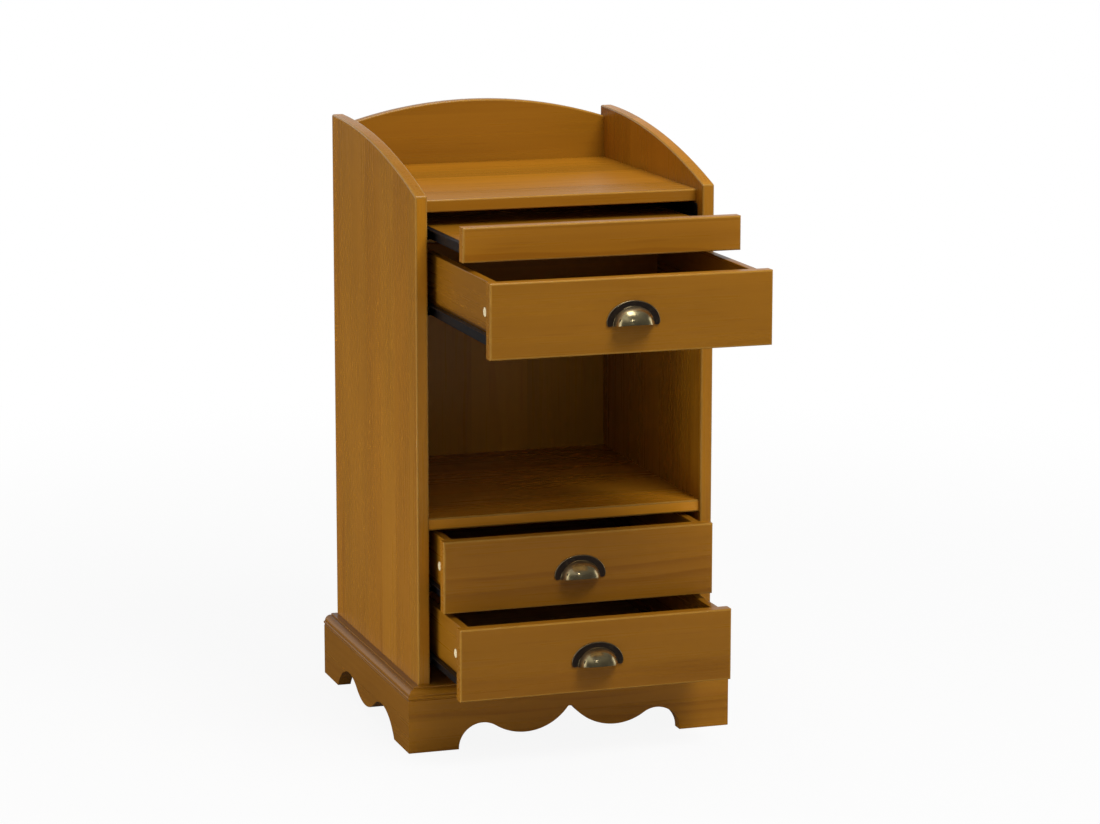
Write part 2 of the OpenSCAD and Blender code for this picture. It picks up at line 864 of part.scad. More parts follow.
// What is cut away under a cup's lower rim, which rises from the flange to its front
module under_rim() {
    rise = rim_rise / (cup_h - flange_t);
    stand_along_x() translate([0, 0, -cup_w / 2 - past])
        linear_extrude(cup_w + 2 * past)
            polygon([[-flange_t, 0], [-cup_h - past, rise * (cup_h + past - flange_t)],
                     [-cup_h - past, -past], [-flange_t, -past]]);
}

// A cup pull on the face of a shut drawer front, with its lower edge at the origin's height
module cup_pull() {
    hollow_w = cup_w / 2 - cup_wall;
    hollow_h = cup_h - cup_wall;
    difference() {
        union() {
            difference() {
                union() {
                    cup_solid(cup_w / 2, cup_h);
                    rotate([90, 0, 0]) linear_extrude(flange_t) flange_outline();
                }
                translate([0, past / 4, -past / 4]) cup_solid(hollow_w, hollow_h + past / 4);
                under_rim();
            }
            intersection() {
                for (x = [-pull_screw_gap / 2, pull_screw_gap / 2])
                    translate([x, 0, pull_screw_z]) rotate([90, 0, 0]) cylinder(h = cup_h, r = post_r);
                cup_solid(cup_w / 2, cup_h);
            }
        }
        for (x = [-pull_screw_gap / 2, pull_screw_gap / 2])
            translate([x, past, pull_screw_z]) rotate([90, 0, 0])
                cylinder(h = past + 9, r = pull_screw_r + hole_play);
    }
}

module drawer_pull(i) {
    color(bronze) at_drawer(i) translate([0, front_y, pull_z]) cup_pull();
}

// The pan-head screws of a pull and the small screws of the slides
module drawer_screws(i) {
    head_r = 2.1 * pull_screw_r;
    color(zinc) at_drawer(i) {
        at_pull_screws() {
            cylinder(h = front_t + 8, r = pull_screw_r);
            difference() {
                translate([0, 0, -2]) cylinder(h = 2, r = head_r);
                translate([0, 0, -2]) cross_recess(head_r, 1);
            }
        }
        at_runners(box_lift) at_slide_screws() pan_screw();
    }
}

module drawer_cam_fittings(i) {
    color(zinc) at_drawer(i) at_drawer_cams()
        cam_fitting(small_cam_r, small_cam_h, box_t / 2, small_cam_back, small_bolt_r, small_thread_l);
}

// The caps that cover the cams, on the drawer sides' outer faces
module drawer_cam_caps(i) {
    color(cream) at_drawer(i) at_drawer_cams()
        translate([small_cam_back, 0, -box_t / 2 - cap_t]) difference() {
            cylinder(h = cap_t, r = cap_r);
            translate([0, 0, -past]) cylinder(h = past + cap_t / 3, r = cap_r - 1.5);
        }
}

left_side_panel();
right_side_panel();
top_board();
back_rail();
niche_shelf();
bottom_board();
back_panel();
front_apron();
left_apron();
right_apron();
corner_blocks();
carcass_screws();
carcass_cam_fittings();
runner_screws();
cabinet_runners(tray_z, top_z - tray_runner_play - tray_z);  // tray_cabinet_runners
drawer_cabinet_runners(0);  // drawer_1_cabinet_runners
drawer_cabinet_runners(1);  // drawer_2_cabinet_runners
drawer_cabinet_runners(2);  // drawer_3_cabinet_runners
front_rollers(tray_z);  // tray_front_rollers
drawer_front_rollers(0);  // drawer_1_front_rollers
drawer_front_rollers(1);  // drawer_2_front_rollers
drawer_front_rollers(2);  // drawer_3_front_rollers
tray_board();
tray_lip();
slides(tray_z, tray_open);  // tray_slides
tray_fixings();
rear_rollers(tray_z, tray_open);  // tray_rear_rollers
drawer_front(0);  // drawer_1_front
drawer_left_side(0);  // drawer_1_left_side
drawer_right_side(0);  // drawer_1_right_side
drawer_back(0);  // drawer_1_back
drawer_bottom(0);  // drawer_1_bottom
drawer_slides(0);  // drawer_1_slides
drawer_rear_rollers(0);  // drawer_1_rear_rollers
drawer_pull(0);  // drawer_1_pull
drawer_screws(0);  // drawer_1_screws
drawer_cam_fittings(0);  // drawer_1_cam_fittings
drawer_cam_caps(0);  // drawer_1_cam_caps
drawer_front(1);  // drawer_2_front
drawer_left_side(1);  // drawer_2_left_side
drawer_right_side(1);  // drawer_2_right_side
drawer_back(1);  // drawer_2_back
drawer_bottom(1);  // drawer_2_bottom
drawer_slides(1);  // drawer_2_slides
drawer_rear_rollers(1);  // drawer_2_rear_rollers
drawer_pull(1);  // drawer_2_pull
drawer_screws(1);  // drawer_2_screws
drawer_cam_fittings(1);  // drawer_2_cam_fittings
drawer_cam_caps(1);  // drawer_2_cam_caps
drawer_front(2);  // drawer_3_front
drawer_left_side(2);  // drawer_3_left_side
drawer_right_side(2);  // drawer_3_right_side
drawer_back(2);  // drawer_3_back
drawer_bottom(2);  // drawer_3_bottom
drawer_slides(2);  // drawer_3_slides
drawer_rear_rollers(2);  // drawer_3_rear_rollers
drawer_pull(2);  // drawer_3_pull
drawer_screws(2);  // drawer_3_screws
drawer_cam_fittings(2);  // drawer_3_cam_fittings
drawer_cam_caps(2);  // drawer_3_cam_caps
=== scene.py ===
"""A pine hall chest with a pull-out tray, three drawers and an open niche."""

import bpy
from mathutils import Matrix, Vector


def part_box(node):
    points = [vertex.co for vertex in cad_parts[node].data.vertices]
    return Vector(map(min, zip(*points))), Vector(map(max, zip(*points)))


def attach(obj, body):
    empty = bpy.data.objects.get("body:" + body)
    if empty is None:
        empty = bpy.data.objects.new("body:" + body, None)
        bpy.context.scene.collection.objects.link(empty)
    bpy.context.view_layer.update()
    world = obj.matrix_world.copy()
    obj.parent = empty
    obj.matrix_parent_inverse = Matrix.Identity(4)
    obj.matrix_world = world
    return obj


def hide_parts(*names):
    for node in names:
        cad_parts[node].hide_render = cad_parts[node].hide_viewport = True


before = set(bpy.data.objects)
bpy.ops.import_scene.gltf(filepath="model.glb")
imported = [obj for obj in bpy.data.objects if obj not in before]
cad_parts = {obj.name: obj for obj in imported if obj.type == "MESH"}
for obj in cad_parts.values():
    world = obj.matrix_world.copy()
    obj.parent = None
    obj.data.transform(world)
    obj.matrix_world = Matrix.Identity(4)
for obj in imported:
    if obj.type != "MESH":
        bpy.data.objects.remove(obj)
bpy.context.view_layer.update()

import math
from functools import partial

import bmesh
import bpy
from bpy.props import FloatProperty, FloatVectorProperty, PointerProperty
from mathutils import Matrix, Vector

bl_info = {
    "name": "Hall Chest",
    "version": (1, 0, 0),
    "blender": (4, 5, 0),
    "location": "View3D > Sidebar > Hall Chest",
    "description": "Finished boards, pulls and runners for a pine hall chest",
    "category": "Add Mesh",
}

DRAWERS = ("drawer_1", "drawer_2", "drawer_3")
PULL_OUTS = ("tray",) + DRAWERS

X, Y, Z = range(3)
ALONG_X, ALONG_Y = (1, 0, 0), (0, 1, 0)
MM = 0.001
NEAR = 0.1 * MM  # points this close lie in one plane
WELD = 0.001 * MM  # points this close are one point
SHARP = math.radians(40)  # an arris is sharper than this
CREASE = math.radians(42)  # smooth shading stops where an edge is sharper than this

SPARE = 3 * MM  # length of an apron that its mitres cut off
MOULDING = 17.5 * MM  # height of the plinth's moulding
PLATE = 2 * MM  # thickness of a pull's flange
BAND = 1.4 * MM  # room for a runner's steel, and the radius of its bends
CHANNEL = 17.6 * MM  # height between a cabinet runner's floor and its lip
SLIDE_GAP = 12.5 * MM  # room for the runners between a side panel and a box


# Settings

Colour = partial(FloatVectorProperty, subtype="COLOR", min=0, max=1)
Length = partial(FloatProperty, unit="LENGTH")
Power = partial(FloatProperty, unit="POWER", min=0)


class ChestWoodSettings(bpy.types.PropertyGroup):
    """Colours and figure of the varnished pine"""

    honey: Colour(
        name="Honey", description="Pale wood between the growth rings",
        default=(0.345, 0.142, 0.0082))
    amber: Colour(
        name="Amber", description="Dark wood of the growth rings",
        default=(0.205, 0.070, 0.0032))
    straw: Colour(
        name="Straw", description="Greener wood of some staves",
        default=(0.285, 0.142, 0.0110))
    knot: Colour(
        name="Knot", description="Heart of a knot",
        default=(0.070, 0.020, 0.003))
    bottom: Colour(
        name="Drawer Bottom", description="Pale board of the drawer bottoms",
        default=(0.52, 0.37, 0.19))
    stave: Length(
        name="Stave", description="Width of the staves glued into a wide board",
        default=0.076, min=0.03, max=0.2)
    ring: Length(
        name="Ring", description="Distance between two growth rings",
        default=0.0052, min=0.001, max=0.02)
    gloss: FloatProperty(
        name="Roughness", description="Roughness of the varnish",
        default=0.22, min=0.05, max=1, subtype="FACTOR")


class ChestMetalSettings(bpy.types.PropertyGroup):
    """Colours of the fittings"""

    brass: Colour(
        name="Cup", description="Rubbed bronze of the cups",
        default=(0.62, 0.51, 0.27))
    patina: Colour(
        name="Patina", description="Dark bronze of the pulls' flanges",
        default=(0.190, 0.138, 0.110))
    steel: Colour(
        name="Runner", description="Coating of the runners",
        default=(0.004, 0.004, 0.005))
    nylon: Colour(
        name="Roller", description="Nylon of the rollers",
        default=(0.022, 0.022, 0.024))
    zinc: Colour(
        name="Zinc", description="Plating of the screws and cams",
        default=(0.62, 0.60, 0.54))
    cap: Colour(
        name="Cap", description="Plastic of the cam caps",
        default=(0.80, 0.68, 0.42))


class ChestShapeSettings(bpy.types.PropertyGroup):
    """Sizes of the rounds and mouldings"""

    arris: Length(
        name="Arris", description="Radius of the rounded front arrises",
        default=0.0026, min=0.0005, max=0.005)
    ease: Length(
        name="Ease", description="Radius of the sanded inner arrises",
        default=0.0007, min=0.0002, max=0.002)
    side_front: Length(
        name="Side Front", description="Height of the side panels at their front edge",
        default=0.805, min=0.6, max=1)
    rail_end: Length(
        name="Rail End", description="Height of the back rail's ends above the top board",
        default=0.064, min=0.03, max=0.1)
    plinth: Length(
        name="Plinth Board", description="Thickness of the plinth boards",
        default=0.021, min=0.015, max=0.03)
    sheet: Length(
        name="Sheet", description="Thickness of the runners' steel",
        default=0.0012, min=0.0008, max=0.002)
    cup_width: Length(
        name="Cup Width", description="Width of a pull's cup",
        default=0.058, min=0.04, max=0.07)
    rim_rise: Length(
        name="Rim Rise", description="Height that a cup's lower rim gains towards its front",
        default=0.0045, min=0, max=0.007)
    cup_wall: Length(
        name="Cup Wall", description="Thickness of a pull's cup",
        default=0.0016, min=0.001, max=0.003)


class ChestStageSettings(bpy.types.PropertyGroup):
    """Camera and lights"""

    camera: FloatVectorProperty(
        name="Camera", description="Place of the camera",
        default=(-1.6205, -5.0419, 1.4681), subtype="TRANSLATION", unit="LENGTH")
    turn: FloatProperty(
        name="Turn", description="How far the camera looks to the right",
        default=0.3162, subtype="ANGLE", unit="ROTATION")
    tilt: FloatProperty(
        name="Tilt", description="How far the camera looks down",
        default=0.1914, subtype="ANGLE", unit="ROTATION")
    lens: FloatProperty(
        name="Lens", description="Focal length for a sensor 36 mm wide",
        default=117.46, min=20, max=300, unit="CAMERA")
    shift: FloatProperty(
        name="Shift", description="Sideways shift of the lens, as a share of the width",
        default=0.0119, min=-0.2, max=0.2)
    key: Power(
        name="Key Light", description="Power of the lamp above the front, a little to the right",
        default=116)
    strip: Power(
        name="Strip Light", description="Power of the long low lamp at the left",
        default=19)
    overhead: Power(
        name="Overhead Light", description="Power of the wide soft lamp above the chest",
        default=24)
    flash: Power(
        name="Flash", description="Power of the small lamp that sparkles on the metal",
        default=3)
    sky: FloatProperty(
        name="Sky", description="Strength of the even light from all around",
        default=0.42, min=0, max=1)


# Shader arithmetic

def both_ways(operation):
    """An operator and its reflected form, so that 1 - mask works too."""
    return (lambda wire, other: wire.math(operation, wire, other),
            lambda wire, other: wire.math(operation, other, wire))


class Wire:
    """A shader socket that takes part in arithmetic. Each operator adds a Math node."""

    def __init__(self, sheet, socket):
        self.sheet = sheet
        self.socket = socket

    def math(self, operation, *values):
        return self.sheet.node("ShaderNodeMath", {"operation": operation}, dict(enumerate(values)))

    __add__, __radd__ = both_ways("ADD")
    __sub__, __rsub__ = both_ways("SUBTRACT")
    __mul__, __rmul__ = both_ways("MULTIPLY")
    __truediv__, __rtruediv__ = both_ways("DIVIDE")
    __pow__, __rpow__ = both_ways("POWER")

    def floor(self):
        return self.math("FLOOR", self)

    def fraction(self):
        return self.math("FRACT", self)

    def size(self):
        return self.math("ABSOLUTE", self)

    def greater(self, other):
        return self.math("MAXIMUM", self, other)

    def between(self, low, high):
        """0 below low and 1 above high, with a smooth step from one to the other."""
        return self.sheet.node(
            "ShaderNodeMapRange", {"interpolation_type": "SMOOTHSTEP"},
            {"Value": self, "From Min": low, "From Max": high})


class NodeSheet:
    """A node tree and one way to add any node to it."""

    def __init__(self, tree):
        self.tree = tree
        tree.nodes.clear()

    def node(self, kind, settings=None, values=None, out=0):
        """Adds a node: first its settings, then the values or links of its sockets."""
        node = self.tree.nodes.new(kind)
        for name, value in (settings or {}).items():
            if name == "stops":
                for _ in value[2:]:
                    node.color_ramp.elements.new(0.5)
                for element, (position, shade) in zip(node.color_ramp.elements, value):
                    element.position = position
                    element.color = (shade, shade, shade, 1)
            else:
                setattr(node, name, value)
        for key, value in (values or {}).items():
            self.feed(node.inputs[key], value)
        return Wire(self, node.outputs[out])

    def feed(self, socket, value):
        """Links a socket, or sets its value. A colour of three numbers gets its fourth."""
        if isinstance(value, Wire):
            self.tree.links.new(value.socket, socket)
        elif hasattr(value, "__len__") and len(value) == 3 and len(socket.default_value) == 4:
            socket.default_value = (*value, 1)
        else:
            socket.default_value = value

    def split(self, vector):
        """The X, Y and Z of a vector."""
        return [self.node("ShaderNodeSeparateXYZ", None, {0: vector}, axis) for axis in "XYZ"]

    def vector(self, x, y, z):
        return self.node("ShaderNodeCombineXYZ", None, {0: x, 1: y, 2: z})

    def noise(self, where, scale=1.0, detail=2.0, roughness=0.5):
        return self.node("ShaderNodeTexNoise", None, {
            "Vector": where, "Scale": scale, "Detail": detail, "Roughness": roughness})

    def chance(self, number):
        """A number from 0 to 1 for each whole number, as if drawn."""
        return self.node("ShaderNodeTexWhiteNoise", {"noise_dimensions": "1D"}, {"W": number})

    def ramp(self, value, *stops):
        """A value led through grey stops, each a position and a shade."""
        return self.node("ShaderNodeValToRGB", {"stops": stops}, {0: value})

    def mix(self, share, first, second):
        return self.node("ShaderNodeMix", {"data_type": "RGBA"}, {0: share, 6: first, 7: second}, 2)

    def shade(self, colour, strength):
        """A colour made lighter or darker by a number."""
        return self.node("ShaderNodeVectorMath", {"operation": "SCALE"},
                         {0: colour, "Scale": strength})

    def ray(self, kind):
        """1 where the ray is of a kind, such as Is Camera Ray, and 0 elsewhere."""
        return self.node("ShaderNodeLightPath", out=kind)

    def glow(self, kind, light):
        """An Emission or Background shader of a grey light."""
        return self.node(kind, None, {"Color": self.vector(light, light, light), "Strength": 1.0})


class Finish(NodeSheet):
    """A material and the nodes that make it."""

    def __init__(self, name, **constants):
        self.material = bpy.data.materials.new(name)
        self.material.use_nodes = True
        super().__init__(self.material.node_tree)
        self.surface = self.tree.nodes.new("ShaderNodeBsdfPrincipled")
        self.output = self.tree.nodes.new("ShaderNodeOutputMaterial")
        self.show(Wire(self, self.surface.outputs[0]))
        for socket, value in constants.items():
            self.surface.inputs[socket.replace("_", " ")].default_value = value
        self.place = self.node("ShaderNodeTexCoord", out="Object")

    def show(self, shader):
        self.feed(self.output.inputs[0], shader)

    def shader(self, name, value):
        self.feed(self.surface.inputs[name], value)

    def axes(self):
        """The three coordinates of the surface, in metres."""
        return self.split(self.place)

    def coat(self, colour, roughness, height, relief, depth=0.1 * MM):
        """Gives the surface its colour, roughness and relief, and gives back the material."""
        self.shader("Base Color", colour)
        self.shader("Roughness", roughness)
        self.shader("Normal", self.node("ShaderNodeBump", None, {
            "Height": height, "Strength": relief, "Distance": depth}))
        return self.material


# Finishes

def pine(name, grain, across, seed, tone=1.0, staves=1.0, green=0.0):
    """Varnished pine with its grain along one axis and its staves side by side along another.
    The tone makes a board lighter or darker, and green brings more of it near to straw."""
    wood = bpy.context.scene.chest_wood
    look = Finish(name + "_pine", Specular_IOR_Level=0.29, IOR=1.48)
    axes = look.axes()
    side = axes[across]
    deep = axes[X + Y + Z - grain - across]
    width = wood.stave * staves
    first = 0.37 * seed

    stave = (side / width + first).floor()
    luck = look.chance(stave + 7.31 * seed)
    more_luck = look.chance(stave + 3.77 * seed + 0.5)
    along = axes[grain] + luck * 3.0 + 0.9 * seed

    def figure(long, wide, detail=2.0, roughness=0.5):
        """Noise with one scale along the grain and another across it."""
        return look.noise(look.vector(along * long, side * wide, deep * wide),
                          detail=detail, roughness=roughness)

    # Knots, and the grain that swirls round them
    cells = {"Vector": look.vector(along * 2.7, side * 7.5, deep * 4.0), "Scale": 1.0}
    knot_gap = look.node("ShaderNodeTexVoronoi", None, cells)
    knot_luck = look.node("ShaderNodeTexVoronoi", None, cells, "Color")
    rare = look.node("ShaderNodeSeparateColor", None, {0: knot_luck}).between(0.90, 0.93)
    swirl = rare * (1.0 - knot_gap.between(0.0, 0.3))
    knot = rare * (1.0 - knot_gap.between(0.012, 0.034))

    # Growth rings round a heart below each stave
    sway = figure(1.5, 4.0) - 0.5
    ripple = figure(7.0, 40.0) - 0.5
    off = side - (stave - first + 0.5 + (more_luck - 0.5) * 1.6) * width
    low = deep + (0.03 + 0.06 * luck)
    heart_gap = (off * off + low * low) ** 0.5
    ring = (heart_gap + sway * 0.015 + ripple * 0.0014 + swirl * 0.009) / wood.ring
    late = look.ramp(
        ring.fraction(), (0.0, 0.1), (0.45, 0.2), (0.82, 0.85), (0.93, 1.0), (1.0, 0.1))
    faint = figure(0.9, 13.0, 1.0).between(0.5, 0.75)

    streak = figure(2.6, 120.0, 3.0, 0.6)
    fibre = figure(20.0, 900.0)
    cloud = figure(1.8, 9.0)
    fleck = figure(9.0, 210.0, 0.0).between(0.68, 0.8)

    depth = 0.34 + late * 0.42 * faint + (streak - 0.5) * 0.36 + fleck * 0.16
    pale = look.mix((more_luck * 0.36 + green).between(0.0, 1.0), wood.honey, wood.straw)
    colour = look.mix(depth.between(-0.25, 1.15), pale, wood.amber)
    colour = look.mix(knot * 0.8, colour, wood.knot)
    tint = (0.90 + 0.18 * luck) * (0.76 + 0.48 * cloud) * (0.98 + 0.04 * fibre) * tone
    return look.coat(look.shade(colour, tint), wood.gloss + 0.12 * (streak - 0.3) + 0.08 * cloud,
                     fibre * 0.5 + late * 0.5 + knot, 0.045, 0.2 * MM)


def pale_board(name, seed):
    """The plain board of a drawer's bottom, thinly varnished, with a fine even grain along X."""
    look = Finish(name, Specular_IOR_Level=0.3)
    x, y, z = look.axes()
    grain = look.noise(look.vector(x * 6.0 + seed, y * 260.0, z), detail=3.0)
    cloud = look.noise(look.vector(x * 3.0 + seed, y * 14.0, z), detail=2.0)
    tint = 0.72 + 0.3 * cloud + 0.26 * grain.between(0.75, 0.3)
    return look.coat(look.shade(bpy.context.scene.chest_wood.bottom, tint), 0.45 + 0.15 * grain,
                     grain, 0.05, 0.2 * MM)


def painted_highlight_arris():
    """The rounded arrises of the boards, paler and glossier than the boards: a painted highlight
    along the edges.
    """
    made = bpy.data.materials.get("pine_arris")
    if made:
        return made
    look = Finish("pine_arris")
    streak = look.noise(look.place, 60.0, 3.0, 0.6)
    # The paler colour is a painted highlight on every rounded arris.
    return look.coat(look.mix(streak, (0.40, 0.200, 0.029), (0.29, 0.126, 0.0136)), 0.16,
                     streak, 0.05, 0.2 * MM)


def cup_bronze(name, face_y):
    """Rubbed bronze with fine scratches: bright where hands polish it, and a painted shade of dark,
    rough patina in a band just out from the bead round the cup."""
    metal = bpy.context.scene.chest_metal
    look = Finish(name, Metallic=1.0)
    x, y, z = look.axes()
    out = face_y - y
    # corner is a painted shade: the patina colour and more roughness in a band 3 to 14 mm out from
    # the face.
    corner = out.between(3.0 * MM, 3.8 * MM) * (1.0 - out.between(7.0 * MM, 14.0 * MM))
    cloud = look.noise(look.place, 90.0, 3.0, 0.6)
    scratch = look.noise(look.vector(x * 260.0, y * 2200.0, z * 2200.0), detail=1.0)
    rubbed = look.mix(cloud.between(0.35, 0.75) * 0.45, metal.brass, metal.patina)
    return look.coat(look.mix(corner * 0.55, rubbed, metal.patina),
                     0.17 + 0.10 * cloud + 0.05 * scratch + 0.34 * corner, scratch, 0.05)


def flange_bronze():
    """Dark patina with a few lighter rubbed patches."""
    metal = bpy.context.scene.chest_metal
    look = Finish("flange_bronze", Metallic=1.0)
    cloud = look.noise(look.place, 140.0, 4.0, 0.62)
    return look.coat(look.mix(cloud.between(0.52, 0.8) * 0.35, metal.patina, metal.brass),
                     0.26 + 0.2 * cloud, cloud, 0.08)


def coated_steel():
    """Black powder coat with its fine orange peel."""
    metal = bpy.context.scene.chest_metal
    look = Finish("coated_steel", Specular_IOR_Level=0.2)
    peel = look.noise(look.place, 1500.0, 2.0)
    dust = look.noise(look.place, 60.0, 4.0, 0.6)
    colour = look.mix(dust.between(0.5, 0.9) * 0.25, metal.steel, metal.nylon)
    return look.coat(look.shade(colour, 0.9 + 0.3 * dust), 0.36 + 0.2 * dust, peel, 0.12)


def roller_nylon():
    """Dark moulded nylon, slightly dusty."""
    metal = bpy.context.scene.chest_metal
    look = Finish("roller_nylon", Specular_IOR_Level=0.35)
    grain = look.noise(look.place, 900.0, 2.0)
    dust = look.noise(look.place, 120.0, 3.0)
    colour = look.mix(dust * 0.3, metal.nylon, metal.steel)
    return look.coat(look.shade(colour, 0.85 + 0.4 * grain), 0.42 + 0.2 * dust, grain, 0.1)


def zinc_plate():
    """Zinc plating, slightly yellowed in patches."""
    metal = bpy.context.scene.chest_metal
    look = Finish("zinc_plate", Metallic=1.0)
    stain = look.noise(look.place, 260.0, 4.0, 0.6)
    fine = look.noise(look.place, 2600.0, 1.0)
    return look.coat(look.mix(stain.between(0.45, 0.75) * 0.5, metal.zinc, metal.brass),
                     0.28 + 0.14 * stain + 0.1 * fine, fine, 0.06)


def cap_plastic():
    """Cream plastic, a little darker in its moulding texture."""
    look = Finish("cap_plastic")
    grain = look.noise(look.place, 1200.0, 2.0)
    cloud = look.noise(look.place, 70.0, 2.0)
    tint = 0.88 + 0.16 * cloud + 0.06 * grain
    return look.coat(look.shade(bpy.context.scene.chest_metal.cap, tint), 0.34 + 0.12 * grain,
                     grain, 0.08)


# Shapes

def as_mesh(name, shape):
    mesh = bpy.data.meshes.new(name)
    shape.to_mesh(mesh)
    shape.free()
    return mesh


def add_object(name, data):
    thing = bpy.data.objects.new(name, data)
    bpy.context.scene.collection.objects.link(thing)
    return thing


def finish_piece(name, shape, materials, node, body="carcass"):
    """Turns a shape into a piece that rides on a body and stands for a node."""
    bmesh.ops.recalc_face_normals(shape, faces=shape.faces)
    mesh = as_mesh(name, shape)
    for material in materials:
        mesh.materials.append(material)
    mesh.shade_smooth()
    mesh.set_sharp_from_angle(angle=CREASE)
    piece = add_object(name, mesh)
    piece.modifiers.new("Even Shading", "WEIGHTED_NORMAL").keep_sharp = True
    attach(piece, body)
    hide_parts(node)


def dress(node, material):
    """Gives a node that keeps its own shape a finished material."""
    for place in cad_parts[node].material_slots:
        place.material = material


def merge_in(shape, extra):
    """Adds one shape to another."""
    mesh = as_mesh("extra", extra)
    shape.from_mesh(mesh)
    bpy.data.meshes.remove(mesh)


def whole(shape):
    return shape.verts[:] + shape.edges[:] + shape.faces[:]


def points_in(geometry):
    return [part for part in geometry if isinstance(part, bmesh.types.BMVert)]


def reaches(edge, axis, place):
    """Whether an end of an edge lies at a place on an axis."""
    return any(abs(v.co[axis] - place) < NEAR for v in edge.verts)


def lies_at(edge, axis, place):
    """Whether both ends of an edge lie at a place on an axis."""
    return all(abs(v.co[axis] - place) < NEAR for v in edge.verts)


def runs(edge, axis):
    """Whether an edge runs along an axis."""
    return abs(edge.verts[0].co[axis] - edge.verts[1].co[axis]) > 1 * MM


def bevel(shape, geom, radius, segments, affect="EDGES"):
    return bmesh.ops.bevel(shape, geom=geom, offset=radius, affect=affect, segments=segments,
                           profile=0.5, material=-1)["faces"]


def round_off(shape, radius, where=lambda edge: True, segments=4, slot=0):
    """Rounds the arrises of a shape that where picks, in the material of a slot."""
    arrises = [e for e in shape.edges
               if len(e.link_faces) == 2 and e.calc_face_angle() > SHARP and where(e)]
    for face in bevel(shape, arrises, radius, segments):
        face.material_index = slot


def face_front(shape, slot):
    """Puts the faces that look straight to the front in the material of a slot."""
    bmesh.ops.recalc_face_normals(shape, faces=shape.faces)
    for face in shape.faces:
        if face.normal.y < -0.99:
            face.material_index = slot


def shift(shape, vec, points=None):
    """Moves a shape, or only some of its points."""
    bmesh.ops.translate(shape, vec=vec, verts=points or shape.verts)


def block(low, high):
    """A plain box between two corners."""
    shape = bmesh.new()
    bmesh.ops.create_cube(shape, size=1)
    bmesh.ops.scale(shape, vec=high - low, verts=shape.verts)
    shift(shape, (high + low) / 2)
    return shape


def pull_thick(shape, along):
    """Extrudes a flat shape's face into a solid."""
    moved = bmesh.ops.extrude_face_region(shape, geom=shape.faces[:])["geom"]
    shift(shape, along, points_in(moved))


def arc_on(shape, tip, centre, axis, angle, steps):
    """Carries a line of edges on from its tip along an arc, and gives back the new tip."""
    swept = bmesh.ops.spin(shape, geom=[tip], cent=centre, axis=axis, angle=angle, steps=steps,
                           use_duplicate=False)["geom_last"]
    return points_in(swept)[0]


def line_on(shape, tip, *points):
    """Carries a line of edges on from its tip through some points."""
    for point in points:
        onward = shape.verts.new(point)
        shape.edges.new((tip, onward))
        tip = onward
    return tip


def close_up(shape, tip, start):
    """Joins the two ends of a line of edges and fills the outline."""
    shape.edges.new((tip, start))
    bmesh.ops.contextual_create(shape, geom=shape.edges[:])


def cut_away(shape, point, outward):
    """Cuts off what lies beyond a plane, and gives back the geometry of the cut."""
    return bmesh.ops.bisect_plane(shape, geom=whole(shape), plane_co=point, plane_no=outward,
                                  clear_outer=True, dist=WELD)["geom_cut"]


def mitre(shape, corner, outward):
    """Cuts a shape along an upright plane and closes the cut."""
    cut = cut_away(shape, corner, outward)
    bmesh.ops.holes_fill(shape, edges=[e for e in cut if isinstance(e, bmesh.types.BMEdge)])


def mirrored(shape):
    """The shape and its mirror image across the chest."""
    bmesh.ops.mirror(shape, geom=whole(shape), matrix=Matrix.Identity(4), merge_dist=-1, axis="X")
    return shape


# Boards

def arc_radius(half, rise):
    """The radius of an arc from half its width and its rise."""
    return (half ** 2 + rise ** 2) / (2 * rise)


def board(node, material, body="carcass", rounded=True, free=False, edge=None):
    """A flat board in place of a node, with its long front arrises rounded. On a free board the
    short ones are too, and the rest are eased. The front edge may have its own wood."""
    sizes = bpy.context.scene.chest_shape
    low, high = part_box(node)
    shape = block(low, high)
    if rounded:
        round_off(shape, sizes.arris,
                  lambda e: lies_at(e, Y, low.y) and (free or runs(e, X)), slot=1)
    if free:
        round_off(shape, sizes.ease, lambda e: reaches(e, Y, high.y), 2)
    materials = [material, painted_highlight_arris()]
    if edge:
        face_front(shape, 2)
        materials.append(edge)
    finish_piece(node + "_wood", shape, materials, node, body)


def side_panel(low, high):
    """A side panel whose top edge falls in an arc from the back to the front."""
    sizes = bpy.context.scene.chest_shape
    depth = high.y - low.y
    radius = arc_radius(depth, high.z - sizes.side_front)
    shape = bmesh.new()
    start = shape.verts.new((low.x, high.y, high.z))
    middle = (low.x, high.y, high.z - radius)
    tip = arc_on(shape, start, middle, ALONG_X, math.asin(depth / radius), 40)
    tip = line_on(shape, tip, low, (low.x, high.y, low.z))
    close_up(shape, tip, start)
    pull_thick(shape, (high.x - low.x, 0, 0))
    round_off(shape, sizes.arris, slot=1)
    face_front(shape, 2)
    return shape


def back_rail(low, high, end_height):
    """The rail behind the top board, with an arched top edge."""
    half = (high.x - low.x) / 2
    radius = arc_radius(half, high.z - low.z - end_height)
    shape = bmesh.new()
    start = shape.verts.new((low.x, low.y, low.z + end_height))
    middle = ((low.x + high.x) / 2, low.y, high.z - radius)
    tip = arc_on(shape, start, middle, ALONG_Y, 2 * math.asin(half / radius), 48)
    tip = line_on(shape, tip, (high.x, low.y, low.z), low)
    close_up(shape, tip, start)
    pull_thick(shape, (0, high.y - low.y, 0))
    round_off(shape, bpy.context.scene.chest_shape.arris,
              lambda e: not reaches(e, Z, low.z) and not runs(e, Y), slot=1)
    return shape


